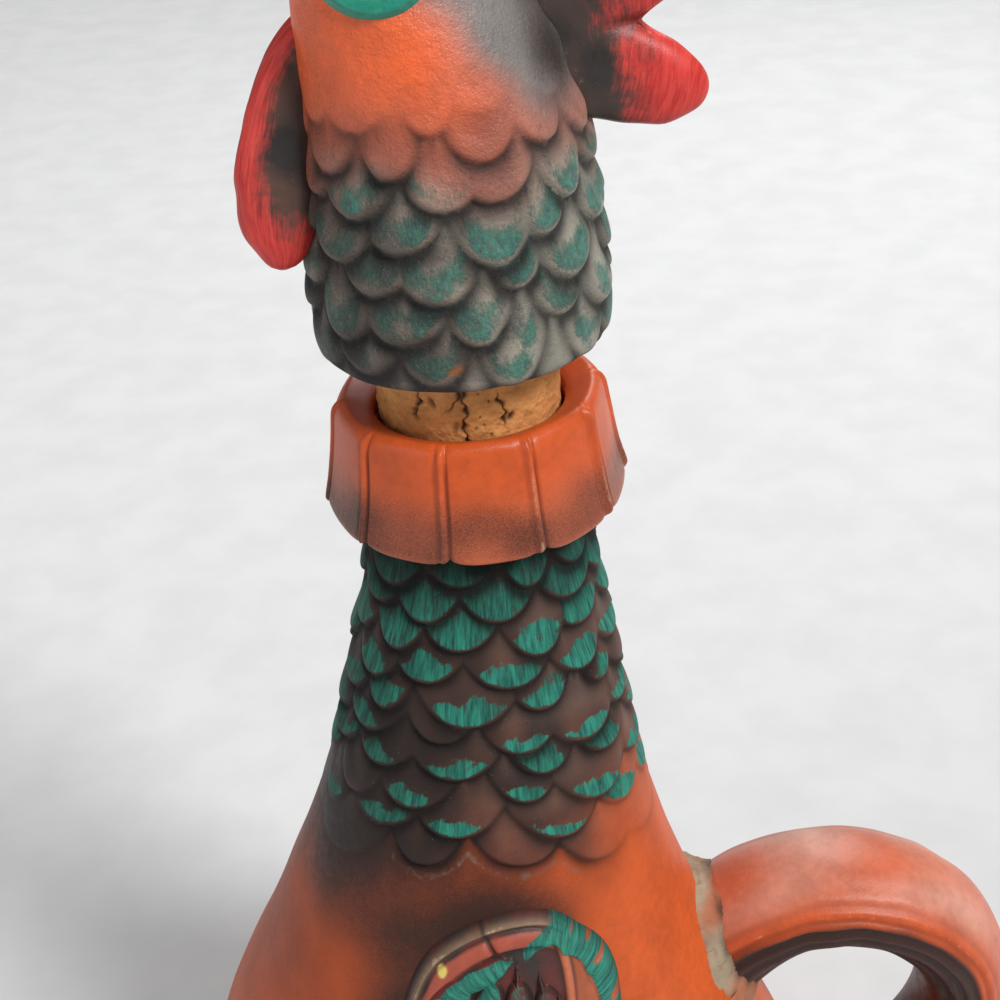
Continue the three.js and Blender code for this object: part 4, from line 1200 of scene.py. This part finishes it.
def make_eye(name, node, side):
    """A low oval patch with a rim, and a ball with a dark pupil."""
    angle = ring(144)[None, :]
    inner = np.linspace(0.01, 0.89, 60)
    rim = 1 - 0.1 * (1 - np.linspace(0, 1, 14)) ** 2
    share = np.concatenate([inner, rim])[:, None]
    x = -EYE_FORWARD + EYE_LENGTH * share * np.cos(angle)
    z = EYE_LEVEL + EYE_HEIGHT * share * np.sin(angle)
    ball = 1.5 * dome(share / 0.46)
    stand = (0.7 + ball + 0.8 * bell(share, 0.8, 0.12)) * rounded((1 - share) / 0.16) - 0.3
    flat = (x - head_middle(z)) / (head_radius(z) + 0.4)
    y = side * (head_radius(z) * head_breadth(z) * np.sqrt(np.clip(1 - flat ** 2, 0.02, 1)) + stand)
    grid = lined(stacked(x, y, z + HEAD_RIM))
    grid[len(share):, :, 1] -= side * (stand[::-BACK_STEP] + 1.2)
    share = lined(share)
    base = blend(EYE_TEAL, IRIS_YELLOW, step(0.45, 0.4, share) * step(0.2, 0.26, share) + 0 * angle)
    base = blend(base, PUPIL, step(0.27, 0.22, share))
    # A dark ring where the ball meets the patch: dark paint and painted shade
    piece(name, grid, "head", node, "eye_teal",
          painted_clay(node + "_paint", TEAL, DEEP_EYE_TEAL, BONE, gloss=0.34, coat_gloss=0.36, grain=0.25),
          flip=side > 0, base=base, coat=0.8 * step(0.5, 0.56, share), deep=0.7 * bell(share, 0.47, 0.035),
          brush=grid)


# Camera, light and floor

def make_camera():
    """The photograph's view: a close look down on the bird's left flank, with the horizon a little tilted."""
    pitch = math.radians(30.82)
    roll = math.radians(-4.8)
    place = Vector((3.5, -244.1, 337.2)) * MM
    right = Vector((1, 0, 0))
    up = Vector((0, math.sin(pitch), math.cos(pitch)))
    ahead = Vector((0, math.cos(pitch), -math.sin(pitch)))
    across = right * math.cos(roll) + up * math.sin(roll)
    upright = up * math.cos(roll) - right * math.sin(roll)
    camera = bpy.data.objects.new("camera", bpy.data.cameras.new("camera"))
    camera.data.sensor_width = 36.0
    camera.data.lens = 61.2
    camera.data.clip_start = 0.01
    turn = Matrix((across, upright, -ahead)).transposed().to_4x4()
    camera.matrix_world = Matrix.Translation(place) @ turn
    bpy.context.scene.collection.objects.link(camera)
    bpy.context.scene.camera = camera


def make_lamp(name, kind, power, towards, place=(0, 0, 0), **settings):
    lamp = bpy.data.lights.new(name, kind)
    lamp.energy = power
    for key, setting in settings.items():
        setattr(lamp, key, setting)
    thing = bpy.data.objects.new(name, lamp)
    thing.location = place
    thing.rotation_euler = towards.to_track_quat("-Z", "Y").to_euler()
    bpy.context.scene.collection.objects.link(thing)


def make_studio():
    scene = bpy.context.scene
    scene.view_settings.view_transform = "Standard"
    world = bpy.data.worlds.new("studio")
    world.use_nodes = True
    world.node_tree.nodes["Background"].inputs["Color"].default_value = (0.86, 0.87, 0.88, 1)
    world.node_tree.nodes["Background"].inputs["Strength"].default_value = 0.27
    scene.world = world
    make_lamp("key_lamp", "SUN", 2.9, Vector((-0.62, 0.6, -0.83)), angle=math.radians(18))
    middle = Vector((0, 0, 0.17))
    for name, place, size, power in (
            ("fill_lamp", (-0.9, -0.7, 0.6), 0.8, 2.6), ("back_lamp", (0.35, 0.8, 0.9), 0.6, 6),
    ):
        make_lamp(name, "AREA", power, middle - Vector(place), place, shape="DISK", size=size)
    reach = 15.0
    corners = [(-reach, -reach, 0), (reach, -reach, 0), (reach, reach, 0), (-reach, reach, 0)]
    mesh = bpy.data.meshes.new("floor")
    mesh.from_pydata(corners, [], [(0, 1, 2, 3)])
    floor = bpy.data.objects.new("floor", mesh)
    scene.collection.objects.link(floor)
    s = Shader("floor_paper")
    tone = s.between(s.noise(s.place(), 40), 0.3, 0.7, 0.62, 0.66)
    mesh.materials.append(s.finish(s.grey(tone), 0.8, s.bump(s.noise(s.place(), 900), 0.05, 0.0005), 0.3))


make_camera()
make_studio()
make_bottle()
make_ruff()
make_handle()
make_slip("slip_bead_upper", "handle_slip_upper", True)
make_slip("slip_bead_lower", "handle_slip_lower", False)
make_wing("wing_left_plumage", "wing_left", -1)
make_wing("wing_right_plumage", "wing_right", 1)
make_cork()
make_head()
make_comb()
make_wattle("wattle_left_lobe", "wattle_left", -1)
make_wattle("wattle_right_lobe", "wattle_right", 1)
make_beak("beak_upper_horn", "beak_upper", BEAK_LENGTH, BEAK_HEIGHT * 0.62, BEAK_HEIGHT * 0.25,
          BEAK_HEIGHT * 0.25, BEAK_HEIGHT * -0.2, -1)
make_beak("beak_lower_horn", "beak_lower", BEAK_LENGTH * 0.8, BEAK_HEIGHT * 0.36, BEAK_HEIGHT * -0.27,
          BEAK_HEIGHT * -0.17, BEAK_HEIGHT * -0.2, 1)
make_eye("eye_left_patch", "eye_left", -1)
make_eye("eye_right_patch", "eye_right", 1)
